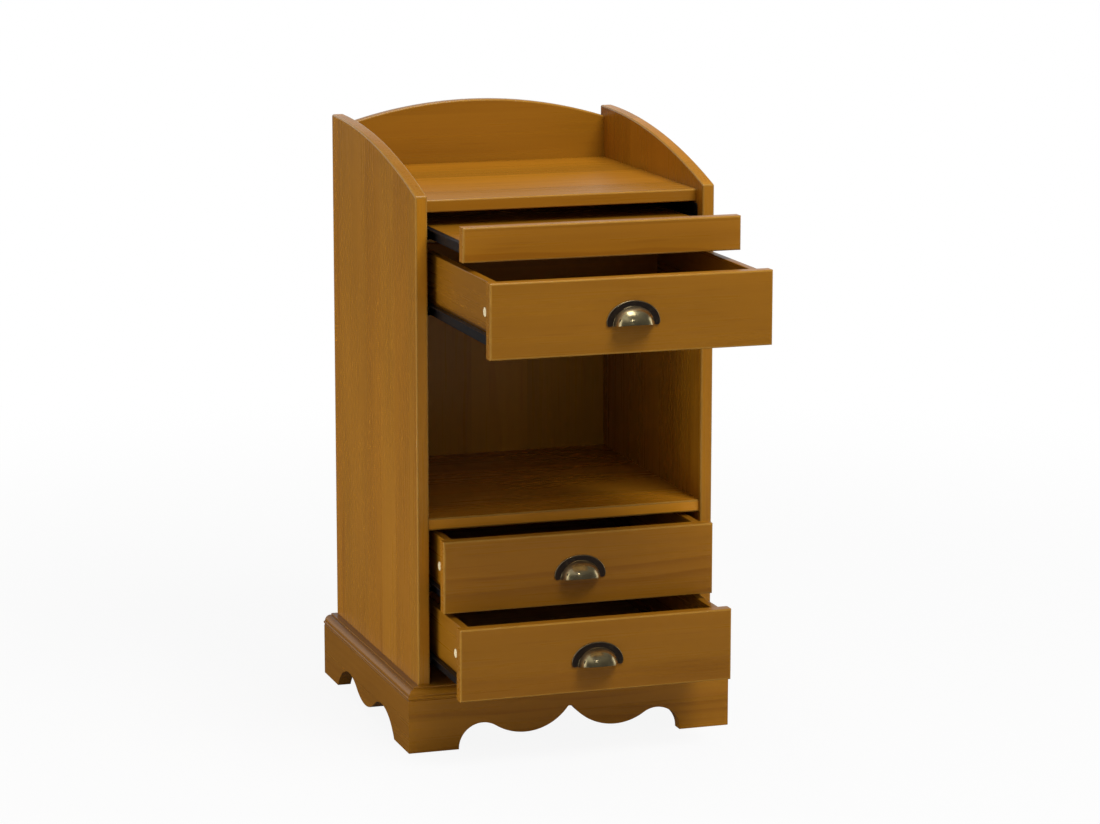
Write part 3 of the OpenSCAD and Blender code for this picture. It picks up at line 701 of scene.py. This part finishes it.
def top_board():
    """The top board with its rounded front and the seat for the rail along its back."""
    low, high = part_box("top_board")
    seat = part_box("back_rail")[0]
    shape = block(low, Vector((high.x, seat.y, high.z)))
    back = next(f for f in shape.faces if f.normal.y > 0.5)
    bmesh.ops.subdivide_edges(shape, edges=[e for e in back.edges if runs(e, Z)], cuts=1)
    for v in shape.verts:
        if low.z + NEAR < v.co.z < high.z - NEAR:
            v.co.z = seat.z
    under = [f for f in shape.faces if f.normal.y > 0.5 and f.calc_center_median().z < seat.z]
    moved = bmesh.ops.extrude_discrete_faces(shape, faces=under)["faces"]
    shift(shape, (0, high.y - seat.y, 0), moved[0].verts[:])
    bmesh.ops.remove_doubles(shape, verts=shape.verts, dist=WELD)
    round_off(shape, bpy.context.scene.chest_shape.arris,
              lambda e: runs(e, X) and lies_at(e, Y, low.y), slot=1)
    round_off(shape, 0.8 * MM,
              lambda e: runs(e, X) and lies_at(e, Y, seat.y) and lies_at(e, Z, high.z), 2)
    return shape


def foot_arch(half, foot, up, radius):
    """The arch beside a foot of some width, from the height of its centre and its radius."""
    return half - foot - math.sqrt(radius ** 2 - up ** 2), up, radius


def scallop(shape, tip, side, lobe, arch):
    """Carries an apron's lower edge from the middle out to a foot: a lobe and then an arch.
    Each is (x, z, radius) of its arc's centre."""
    lobe_x, lobe_z, _ = lobe
    arch_x, arch_z, arch_radius = arch
    toward = math.atan2(arch_z - lobe_z, arch_x - lobe_x)
    begin = math.atan2(tip.co.z - lobe_z, abs(tip.co.x) - lobe_x)
    sweep = (begin - toward) % math.tau - math.tau
    tip = arc_on(shape, tip, (side * lobe_x, 0, lobe_z), (0, side, 0), sweep, 28)
    sweep = (math.pi + toward + math.asin(arch_z / arch_radius)) % math.tau
    return arc_on(shape, tip, (side * arch_x, 0, arch_z), (0, side, 0), sweep, 24)


def apron(half, height, lobe, arch, peak):
    """A plinth board along X in front of the plane y = 0: a scalloped board and its moulding.
    The peak is the height of the lower edge in the middle."""
    thick = bpy.context.scene.chest_shape.plinth
    seam = height - MOULDING
    lobe_x, lobe_z, lobe_radius = lobe
    shape = bmesh.new()
    flat = lobe_x - math.sqrt(max(lobe_radius ** 2 - (lobe_z - peak) ** 2, 0))
    ends = []
    for side in (1, -1):
        first = shape.verts.new((side * max(flat, 0), 0, peak))
        tip = scallop(shape, first, side, lobe, arch)
        ends.append((first, line_on(shape, tip, (side * half, 0, 0), (side * half, 0, seam))))
    for pair in zip(*ends):
        shape.edges.new(pair)
    bmesh.ops.remove_doubles(shape, verts=shape.verts, dist=WELD)
    bmesh.ops.contextual_create(shape, geom=shape.edges[:])
    pull_thick(shape, (0, -thick, 0))
    round_off(shape, 0.9 * MM, lambda e: not reaches(e, Z, seam) and not runs(e, Y), 2)

    def at(back, down):
        """A point of the moulding's section, in mm behind its front and below its top."""
        return -half, back * MM - thick, height - down * MM

    top = bmesh.new()
    start = top.verts.new((-half, 0, seam))
    tip = line_on(top, start, (-half, 0, height), at(11.5, 0), at(11.5, 2.2), at(10, 2.2))
    tip = arc_on(top, tip, at(10, 11), ALONG_X, math.pi / 2, 10)
    tip = arc_on(top, tip, at(1, 13), ALONG_X, math.pi, 10)
    tip = line_on(top, tip, at(0, 15), at(0, 15.5))
    tip = arc_on(top, tip, at(0, 16.5), ALONG_X, -math.pi, 8)
    close_up(top, tip, start)
    pull_thick(top, (2 * half, 0, 0))
    merge_in(shape, top)
    return shape


# Fittings

def round_node(node):
    """The left end of the axis of a round node that lies along X, and its radius."""
    low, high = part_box(node)
    return (low.x, (low.y + high.y) / 2, (low.z + high.z) / 2), (high.z - low.z) / 2


def tube(centre, axis, radius, length, edge=0.0):
    """A round bar along an axis from its centre point, with its rims rounded."""
    shape = bmesh.new()
    bmesh.ops.create_cone(shape, cap_ends=True, segments=24, radius1=radius, radius2=radius,
                          depth=length)
    if edge:
        round_off(shape, edge, segments=2)
    turn = Vector((0, 0, 1)).rotation_difference(Vector(axis)).to_matrix().to_4x4()
    bmesh.ops.transform(shape, matrix=Matrix.Translation(centre) @ turn, verts=shape.verts)
    return shape


def turned(points, centre, segments=48):
    """A closed section in distances along and from the X axis, spun into a ring about X."""
    shape = bmesh.new()
    first, *others = [(along, 0, out) for along, out in points]
    start = shape.verts.new(first)
    shape.edges.new((line_on(shape, start, *others), start))
    bmesh.ops.spin(shape, geom=whole(shape), cent=(0, 0, 0), axis=ALONG_X, angle=math.tau,
                   steps=segments, use_merge=True)
    bmesh.ops.remove_doubles(shape, verts=shape.verts, dist=WELD)
    shift(shape, centre)
    return shape


def bent_sheet(section, start, end, bend, thick):
    """Sheet steel bent to a section in X and Z and run along Y, from start to end."""
    shape = bmesh.new()
    first, *others = [(x, start, z) for x, z in section]
    line_on(shape, shape.verts.new(first), *others)
    corners = [v for v in shape.verts if len(v.link_edges) == 2]
    if corners:
        bevel(shape, corners, bend, 5, "VERTICES")
    swept = bmesh.ops.extrude_edge_only(shape, edges=shape.edges[:])["geom"]
    shift(shape, (0, end - start, 0), points_in(swept))
    bmesh.ops.recalc_face_normals(shape, faces=shape.faces)
    bmesh.ops.solidify(shape, geom=shape.faces[:], thickness=thick)
    return shape


def add_pin(shape, rollers, wall, steps):
    """Adds a roller's pin in steps, each with its start and end from the side panel and its
    radius, in mm."""
    (_, y, z), _ = round_node(rollers)
    for start, end, radius in steps:
        merge_in(shape, tube((wall + (start + end) / 2 * MM, y, z), ALONG_X, radius * MM,
                             (end - start) * MM, 0.15 * MM))


def cabinet_runner(group):
    """The steel on the left side panel: an angle, the lip above it and the front roller's pin."""
    thick = bpy.context.scene.chest_shape.sheet
    half = thick / 2
    low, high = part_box(group + "_cabinet_runners")
    wall, floor = low.x, low.z + half
    inner = wall + 10.5 * MM
    lip = low.z + BAND + CHANNEL + half
    lip_start = low.y + 24.2 * MM
    shape = bent_sheet([(inner, floor), (wall + half, floor), (wall + half, high.z)],
                       low.y, high.y, BAND, thick)
    corner = [e for e in shape.edges if lies_at(e, Y, low.y) and lies_at(e, Z, high.z)]
    bevel(shape, corner, 5.5 * MM, 6)
    merge_in(shape, bent_sheet([(wall + 0.2 * MM, lip), (inner, lip)], lip_start, high.y, 0, thick))
    add_pin(shape, group + "_front_rollers", wall,
            ((0.2, 10.0, 2.5), (0.2, 2.8, 3.5), (10.0, 10.6, 3.5)))
    return shape


def slide(group):
    """The steel on the left of a box or the tray, with the rear roller's pin. Its upper flange
    ends in front of the roller."""
    thick = bpy.context.scene.chest_shape.sheet
    half = thick / 2
    low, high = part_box(group + "_slides")
    pin_end = 2.6  # from the side panel, in mm
    wall = low.x - pin_end * MM
    web = wall + SLIDE_GAP - half
    bottom, top = low.z + half, high.z - half
    shape = bent_sheet([(web + 11 * MM, bottom), (web, bottom), (web, top), (wall + 3 * MM, top)],
                       low.y, high.y, BAND, thick)
    flange_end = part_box(group + "_rear_rollers")[0].y - 3 * MM
    bmesh.ops.bisect_plane(shape, geom=whole(shape), plane_co=(0, flange_end, 0), plane_no=ALONG_Y)
    beyond = [f for f in shape.faces if f.calc_center_median().y > flange_end
              and f.calc_center_median().x < web - half - 0.3 * MM]
    bmesh.ops.delete(shape, geom=beyond, context="FACES")
    bmesh.ops.holes_fill(shape, edges=[e for e in shape.edges if len(e.link_faces) == 1])
    add_pin(shape, group + "_rear_rollers", wall, ((pin_end, 11.6, 2.5), (10.0, 11.6, 3.5)))
    return shape


def roller(node):
    """The left roller of a pair, with a recess between its hub and its rim on both faces."""
    start, radius = round_node(node)
    width, hub, bore, rim = 6.8 * MM, 3.7 * MM, 2.58 * MM, radius - 1.4 * MM
    step, slope = 0.5 * MM, 0.3 * MM
    face = [(0, bore), (0, hub), (step, hub + slope), (step, rim - slope), (0, rim),
            (0, radius - step), (step, radius)]
    return turned(face + [(width - along, out) for along, out in reversed(face)], start)


def cam_cap(node, thick):
    """The left cap of a pair, rounded at its rim and dished in its middle."""
    start, radius = round_node(node)
    heart = 0.05 * MM
    section = [(thick, heart), (thick, radius - 0.2 * MM), (thick * 0.6, radius),
               (thick * 0.25, radius - 0.15 * MM), (0, radius - 0.8 * MM),
               (0.1 * MM, radius - 1.6 * MM), (thick * 0.35, radius - 2 * MM), (thick * 0.3, heart)]
    return turned(section, start, 40)


def cup_pull(face_y, low, high):
    """A cup pull against a front's face: a cup open below, a bead and a flange round it, and two
    posts inside."""
    sizes = bpy.context.scene.chest_shape
    half = (high.x - low.x) / 2
    tall = high.z - low.z
    reach = face_y - low.y
    cup_half = sizes.cup_width / 2
    wall = sizes.cup_wall
    foot = (half - cup_half) / 2
    fullness = 0.15
    bead_radius = 0.9 * MM

    cup = bmesh.new()
    bmesh.ops.create_uvsphere(cup, u_segments=80, v_segments=40, radius=1)
    bmesh.ops.rotate(cup, cent=(0, 0, 0), matrix=Matrix.Rotation(math.pi / 2, 3, "Y"),
                     verts=cup.verts)
    cut_away(cup, (0, 0, 0), (0, 0, -1))
    cut_away(cup, (0, 0, 0), ALONG_Y)
    for v in cup.verts:
        around = math.hypot(v.co.y, v.co.z)
        v.co.x = math.copysign(abs(v.co.x) ** (1 - fullness), v.co.x)
        if around > NEAR:
            v.co.y *= around ** -fullness
            v.co.z *= around ** -fullness
    bmesh.ops.scale(cup, vec=(cup_half, reach, reach), verts=cup.verts)
    cut_away(cup, (0, -PLATE, 0), (0, -sizes.rim_rise, PLATE - reach))
    bmesh.ops.recalc_face_normals(cup, faces=cup.faces)
    bmesh.ops.solidify(cup, geom=cup.faces[:], thickness=wall)

    flange = bmesh.new()
    inner = flange.verts.new((cup_half - wall, 0, 0))
    tip = arc_on(flange, inner, (0, 0, 0), ALONG_Y, -math.pi, 56)
    for v in flange.verts:
        v.co.z *= (reach - wall) / (cup_half - wall)
    tip = line_on(flange, tip, (-cup_half, 0, foot))
    tip = arc_on(flange, tip, (foot - half, 0, foot), ALONG_Y, math.pi, 10)
    begin = len(flange.verts)
    tip = arc_on(flange, tip, (0, 0, foot), ALONG_Y, math.pi, 72)
    flange.verts.ensure_lookup_table()
    for v in flange.verts[begin:]:
        v.co.z = foot + (v.co.z - foot) * (tall - foot) / half
    tip = arc_on(flange, tip, (half - foot, 0, foot), ALONG_Y, math.pi, 10)
    close_up(flange, tip, inner)
    pull_thick(flange, (0, -PLATE, 0))
    for face in flange.faces:
        face.material_index = 1

    def on_rim(edge):
        """Picks the outer arris of the flange's front."""
        return lies_at(edge, Y, -PLATE) and sum(math.hypot(
            v.co.x / half, max(v.co.z - foot, 0) / (tall - foot)) for v in edge.verts) > 1.95

    round_off(flange, 1.3 * MM, on_rim)

    bead = bmesh.new()
    bmesh.ops.create_circle(bead, segments=12, radius=bead_radius)
    shift(bead, (reach + 0.2 * MM, 0, 0))
    bmesh.ops.spin(bead, geom=whole(bead), cent=(0, 0, 0), axis=ALONG_Y, angle=-math.pi, steps=64)
    bmesh.ops.scale(bead, vec=(cup_half / reach, 1, 1), verts=bead.verts)
    shift(bead, (0, -PLATE, 0))
    bmesh.ops.holes_fill(bead, edges=bead.edges)
    merge_in(cup, bead)
    merge_in(cup, flange)

    post_z = 9 * MM
    for post_x in (-21 * MM, 21 * MM):
        inside = math.sqrt(1 - (post_x / cup_half) ** 2 - (post_z / reach) ** 2)
        deep = reach * inside - wall / 2
        merge_in(cup, tube((post_x, -deep / 2, post_z), ALONG_Y, 3.6 * MM, deep))
    shift(cup, ((low.x + high.x) / 2, face_y, low.z))
    return cup


# Operators

class CHEST_OT_side_panels(bpy.types.Operator):
    """Make the two side panels"""

    bl_idname = "chest.side_panels"
    bl_label = "Side Panels"

    def execute(self, context):
        for seed, node in enumerate(("left_side_panel", "right_side_panel")):
            face = pine(node, Z, Y, seed + 1.3, 1.12 + 0.22 * seed, green=0.1)
            # The left panel's front edge gets a lighter tone than the right's: painted light where
            # the drawers shade that edge.
            edge = pine(node + "_edge", Z, X, seed + 2.6, 1.66 - 0.38 * seed)
            shape = side_panel(*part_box(node))
            finish_piece(node + "_wood", shape, [face, painted_highlight_arris(), edge], node)
        return {"FINISHED"}


class CHEST_OT_carcass_boards(bpy.types.Operator):
    """Make the top board, the niche shelf, the bottom board and the back rail, and finish the back
    panel
    """

    bl_idname = "chest.carcass_boards"
    bl_label = "Carcass Boards"

    def execute(self, context):
        finish_piece("top_board_wood", top_board(),
                     [pine("top_board", X, Y, 4.1, 1.21), painted_highlight_arris()], "top_board")
        # The niche shelf and, more so, its front edge get lighter tones: painted light in the shade
        # under the top drawer.
        board("niche_shelf", pine("niche_shelf", X, Y, 5.2, 1.6),
              edge=pine("niche_shelf_edge", X, Z, 5.9, 2.3))
        board("bottom_board", pine("bottom_board", X, Y, 6.3), rounded=False)
        low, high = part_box("back_rail")
        end_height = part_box("top_board")[1].z - low.z + context.scene.chest_shape.rail_end
        finish_piece("back_rail_wood", back_rail(low, high, end_height),
                     [pine("back_rail", X, Z, 7.6, 1.02, 1.4), painted_highlight_arris()], "back_rail")
        # The back panel gets a lighter, greener tone: painted light, tinted like the shade in the
        # niche.
        dress("back_panel", pine("back_panel", Z, X, 8.4, 1.6, 1.2, 0.9))
        return {"FINISHED"}


class CHEST_OT_plinth(bpy.types.Operator):
    """Make the three moulded and scalloped aprons, and finish the corner blocks"""

    bl_idname = "chest.plinth"
    bl_label = "Plinth"

    def execute(self, context):
        thick = context.scene.chest_shape.plinth
        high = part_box("front_apron")[1]
        inner = high.y
        wall = -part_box("left_side_panel")[0].x
        half = wall + thick
        lobe = (69 * MM, 99.08 * MM, 81.58 * MM)
        arch = foot_arch(half, foot=76 * MM, up=1 * MM, radius=36 * MM)
        shape = apron(half + SPARE, high.z, lobe, arch, peak=51 * MM)
        shift(shape, (0, inner, 0))
        for side in (1, -1):
            mitre(shape, (side * wall, inner, 0), (side, 1, 0))
        finish_piece("front_apron_wood", shape,
                     [pine("front_apron", X, Z, 9.7, 1.12, 1.5, 0.1)], "front_apron")

        lowest = 10 * MM
        for side, node in ((-1, "left_apron"), (1, "right_apron")):
            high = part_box(node)[1]
            half = (high.y - inner + thick) / 2
            arch = foot_arch(half, foot=78 * MM, up=-43.5 * MM, radius=80 * MM)
            rise = lowest - arch[1]
            radius = (arch[0] ** 2 / (arch[2] - rise) - (arch[2] + rise)) / 2
            shape = apron(half + SPARE, high.z, (0, lowest + radius, radius), arch, lowest)
            bmesh.ops.rotate(shape, cent=(0, 0, 0), verts=shape.verts,
                             matrix=Matrix.Rotation(side * math.pi / 2, 3, "Z"))
            shift(shape, (side * wall, high.y - half, 0))
            mitre(shape, (side * wall, inner, 0), (-side, -1, 0))
            mitre(shape, (0, high.y, 0), ALONG_Y)
            # The side aprons get a darker tone than the front apron: painted shade against the low
            # lamp's light on them.
            finish_piece(node + "_wood", shape,
                         [pine(node, Y, Z, 11.2 + side, 0.69, 1.5)], node)
        dress("corner_blocks", pine("corner_blocks", Z, X, 13.1, 0.9))
        return {"FINISHED"}


class CHEST_OT_tray(bpy.types.Operator):
    """Make the tray board and its lip"""

    bl_idname = "chest.tray"
    bl_label = "Tray"

    def execute(self, context):
        board("tray_board", pine("tray_board", X, Y, 14.4), "tray", rounded=False)
        board("tray_lip", pine("tray_lip", X, Z, 15.2, 1.14, 1.6), "tray", free=True)
        return {"FINISHED"}


class CHEST_OT_drawers(bpy.types.Operator):
    """Make the fronts, sides and backs of the drawers and finish their bottoms"""

    bl_idname = "chest.drawers"
    bl_label = "Drawers"

    def execute(self, context):
        round_top = 2 * context.scene.chest_shape.ease
        for seed, drawer in enumerate(DRAWERS):
            front = pine(drawer + "_front", X, Z, 17.3 + 2.6 * seed, 1.04 - 0.03 * seed, 1.5)
            board(drawer + "_front", front, drawer, free=True)
            side = pine(drawer + "_box", Y, Z, 27.1 + seed, 0.9, 1.4)
            # The backs get a lighter, greener tone than the sides: painted light inside the dark
            # drawers.
            back = pine(drawer + "_back", X, Z, 31.4 + seed, 1.4, 1.4, 0.5)
            for part, wood, grain in (
                    ("_left_side", side, Y), ("_right_side", side, Y), ("_back", back, X)):
                node = drawer + part
                low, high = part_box(node)
                shape = block(low, high)
                round_off(shape, round_top, lambda e: lies_at(e, Z, high.z) and runs(e, grain), 3)
                finish_piece(node + "_wood", shape, [wood], node, drawer)
            dress(drawer + "_bottom", pale_board(drawer + "_bottom_board", 35.8 + seed))
        return {"FINISHED"}


class CHEST_OT_pulls(bpy.types.Operator):
    """Make the cup pulls"""

    bl_idname = "chest.pulls"
    bl_label = "Cup Pulls"

    def execute(self, context):
        patina = flange_bronze()
        for drawer in DRAWERS:
            node = drawer + "_pull"
            face_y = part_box(drawer + "_front")[0].y
            finish_piece(node + "_metal", cup_pull(face_y, *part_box(node)),
                         [cup_bronze(drawer + "_cup_bronze", face_y), patina],
                         node, drawer)
        return {"FINISHED"}


class CHEST_OT_runners(bpy.types.Operator):
    """Make the bent steel runners on the side panels and the slides on the boxes"""

    bl_idname = "chest.runners"
    bl_label = "Runners"

    def execute(self, context):
        steel = coated_steel()
        for group in PULL_OUTS:
            finish_piece(group + "_cabinet_runner_steel", mirrored(cabinet_runner(group)), [steel],
                         group + "_cabinet_runners")
            finish_piece(group + "_slide_steel", mirrored(slide(group)), [steel],
                         group + "_slides", group)
        return {"FINISHED"}


class CHEST_OT_rollers(bpy.types.Operator):
    """Make the nylon rollers of the runners"""

    bl_idname = "chest.rollers"
    bl_label = "Rollers"

    def execute(self, context):
        nylon = roller_nylon()
        for group in PULL_OUTS:
            for end in ("front", "rear"):
                node = f"{group}_{end}_rollers"
                finish_piece(node + "_nylon", mirrored(roller(node)), [nylon], node,
                             f"{group}_{end}_roller_pair")
        return {"FINISHED"}


class CHEST_OT_fixings(bpy.types.Operator):
    """Make the caps over the cams and finish the screws and cams"""

    bl_idname = "chest.fixings"
    bl_label = "Fixings"

    def execute(self, context):
        zinc = zinc_plate()
        for node in ("carcass_screws", "carcass_cam_fittings", "runner_screws", "tray_fixings"):
            dress(node, zinc)
        plastic = cap_plastic()
        for drawer in DRAWERS:
            dress(drawer + "_screws", zinc)
            dress(drawer + "_cam_fittings", zinc)
            node = drawer + "_cam_caps"
            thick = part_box(drawer + "_left_side")[0].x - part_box(node)[0].x
            finish_piece(node + "_plastic", mirrored(cam_cap(node, thick)), [plastic], node, drawer)
        return {"FINISHED"}


class CHEST_OT_stage(bpy.types.Operator):
    """Set the floor, the lights, the world and the camera"""

    bl_idname = "chest.stage"
    bl_label = "Stage"

    def execute(self, context):
        scene = context.scene
        stage = scene.chest_stage
        self.world(scene, stage.sky)
        self.floor()
        # The power, whether metal mirrors it, its width and depth, its place and its target
        for name, *lamp in (
                ("Key", stage.key, False, 1.6, 1.6, (0.95, -2.25, 3.7), (0, -0.2, 0.5)),
                ("Strip", stage.strip, False, 1.2, 0.2, (-1.9, -0.1, 0.11), (-0.2, 0, 0.11)),
                ("Overhead", stage.overhead, True, 1.9, 1.1, (0.05, -0.25, 3.25), (0, -0.25, 0.6)),
                ("Flash", stage.flash, True, 0.14, 0.14, (-0.2, -3.3, 2.85), (0, -0.5, 0.6))):
            self.lamp(name, *lamp)
        camera = add_object("Camera", bpy.data.cameras.new("Camera"))
        camera.location = stage.camera
        camera.rotation_euler = (math.pi / 2 - stage.tilt, 0, -stage.turn)
        camera.data.sensor_width = 36
        camera.data.lens = stage.lens
        camera.data.shift_x = stage.shift
        camera.data.clip_end = 60
        scene.camera = camera
        scene.view_settings.view_transform = "Standard"
        return {"FINISHED"}

    @staticmethod
    def lamp(name, power, mirrored, width, depth, place, target):
        data = bpy.data.lights.new(name, "AREA")
        data.shape = "RECTANGLE"
        data.size = width
        data.size_y = depth
        data.energy = power
        lamp = add_object(name, data)
        lamp.location = place
        aim = Vector(target) - Vector(place)
        lamp.rotation_euler = aim.to_track_quat("-Z", "Y").to_euler()
        lamp.visible_glossy = mirrored

    @staticmethod
    def world(scene, strength):
        """Even light, a white backdrop, and a studio that metal reflects: the backdrop, a bright
        wall at the left and right, a grey ceiling, and dark behind the camera."""
        world = bpy.data.worlds.new("Studio")
        world.use_nodes = True
        scene.world = world
        sheet = NodeSheet(world.node_tree)
        x, y, z = sheet.split(sheet.node("ShaderNodeTexCoord", out="Generated"))
        leftward = 0.0 - x
        band = y.between(-0.25, -0.05) * (1.0 - y.between(0.55, 0.65))
        left = leftward.between(0.70, 0.82) * (1.0 - z.between(0.5, 0.62)) * 1.35
        right = x.between(0.66, 0.76) * (1.0 - z.between(0.42, 0.5)) * 1.25
        back = y.between(0.45, 0.7) * (1.0 - z.between(0.25, 0.5)) * 0.6
        ceiling = z.between(0.4, 0.8) * (0.07 + 0.35 * leftward.between(0.15, 0.45))
        studio = 0.085 + (band * (left + right) + back + ceiling)
        seen = sheet.ray("Is Camera Ray").greater(sheet.ray("Is Transmission Ray"))
        mirrored = sheet.ray("Is Glossy Ray")
        light = seen + (1.0 - seen) * (mirrored * studio + (1.0 - mirrored) * strength)
        output = world.node_tree.nodes.new("ShaderNodeOutputWorld")
        sheet.feed(output.inputs[0], sheet.glow("ShaderNodeBackground", light))

    @staticmethod
    def floor():
        """A pale floor that the camera sees as white where no shadow falls."""
        shape = bmesh.new()
        bmesh.ops.create_grid(shape, x_segments=1, y_segments=1, size=14)
        floor = add_object("Floor", as_mesh("Floor", shape))
        pale = Finish("pale_floor", Roughness=1.0, Specular_IOR_Level=0.0)
        cloud = pale.noise(pale.place, 3.0)
        pale.shader("Base Color", pale.mix(cloud, (0.60, 0.60, 0.60), (0.64, 0.64, 0.64)))
        x, y, _ = pale.axes()
        away = ((x * x + y * y) ** 0.5).between(0.8, 2.6)
        aside = (x.size() - y.size() * 0.7).between(0.3, 1.5)
        seen = pale.ray("Is Camera Ray")
        mirrored = pale.ray("Is Glossy Ray")
        light = seen + mirrored * (0.03 + 0.28 * aside)
        pale.show(pale.node("ShaderNodeMixShader", None, {
            0: seen * (0.91 + 0.09 * away) + mirrored * 0.95,
            1: Wire(pale, pale.surface.outputs[0]),
            2: pale.glow("ShaderNodeEmission", light)}))
        floor.data.materials.append(pale.material)


class CHEST_PT_panel(bpy.types.Panel):
    """Show every setting and a button for each group of pieces"""

    bl_label = "Hall Chest"
    bl_idname = "CHEST_PT_panel"
    bl_space_type = "VIEW_3D"
    bl_region_type = "UI"
    bl_category = "Hall Chest"

    def draw(self, context):
        layout = self.layout
        for group in SETTINGS:
            settings = getattr(context.scene, group)
            for name in settings.__annotations__:
                layout.prop(settings, name)
        for operator in OPERATORS:
            layout.operator(operator.bl_idname)


SETTINGS = {
    "chest_wood": ChestWoodSettings,
    "chest_metal": ChestMetalSettings,
    "chest_shape": ChestShapeSettings,
    "chest_stage": ChestStageSettings,
}
OPERATORS = (
    CHEST_OT_stage,
    CHEST_OT_side_panels,
    CHEST_OT_carcass_boards,
    CHEST_OT_plinth,
    CHEST_OT_tray,
    CHEST_OT_drawers,
    CHEST_OT_pulls,
    CHEST_OT_runners,
    CHEST_OT_rollers,
    CHEST_OT_fixings,
)
CLASSES = tuple(SETTINGS.values()) + OPERATORS + (CHEST_PT_panel,)


def register():
    for cls in CLASSES:
        bpy.utils.register_class(cls)
    for name, cls in SETTINGS.items():
        setattr(bpy.types.Scene, name, PointerProperty(type=cls))


def unregister():
    for name in SETTINGS:
        delattr(bpy.types.Scene, name)
    for cls in reversed(CLASSES):
        bpy.utils.unregister_class(cls)


def main():
    register()
    for operator in OPERATORS:
        group, name = operator.bl_idname.split(".")
        getattr(getattr(bpy.ops, group), name)()


if __name__ == "__main__":
    main()
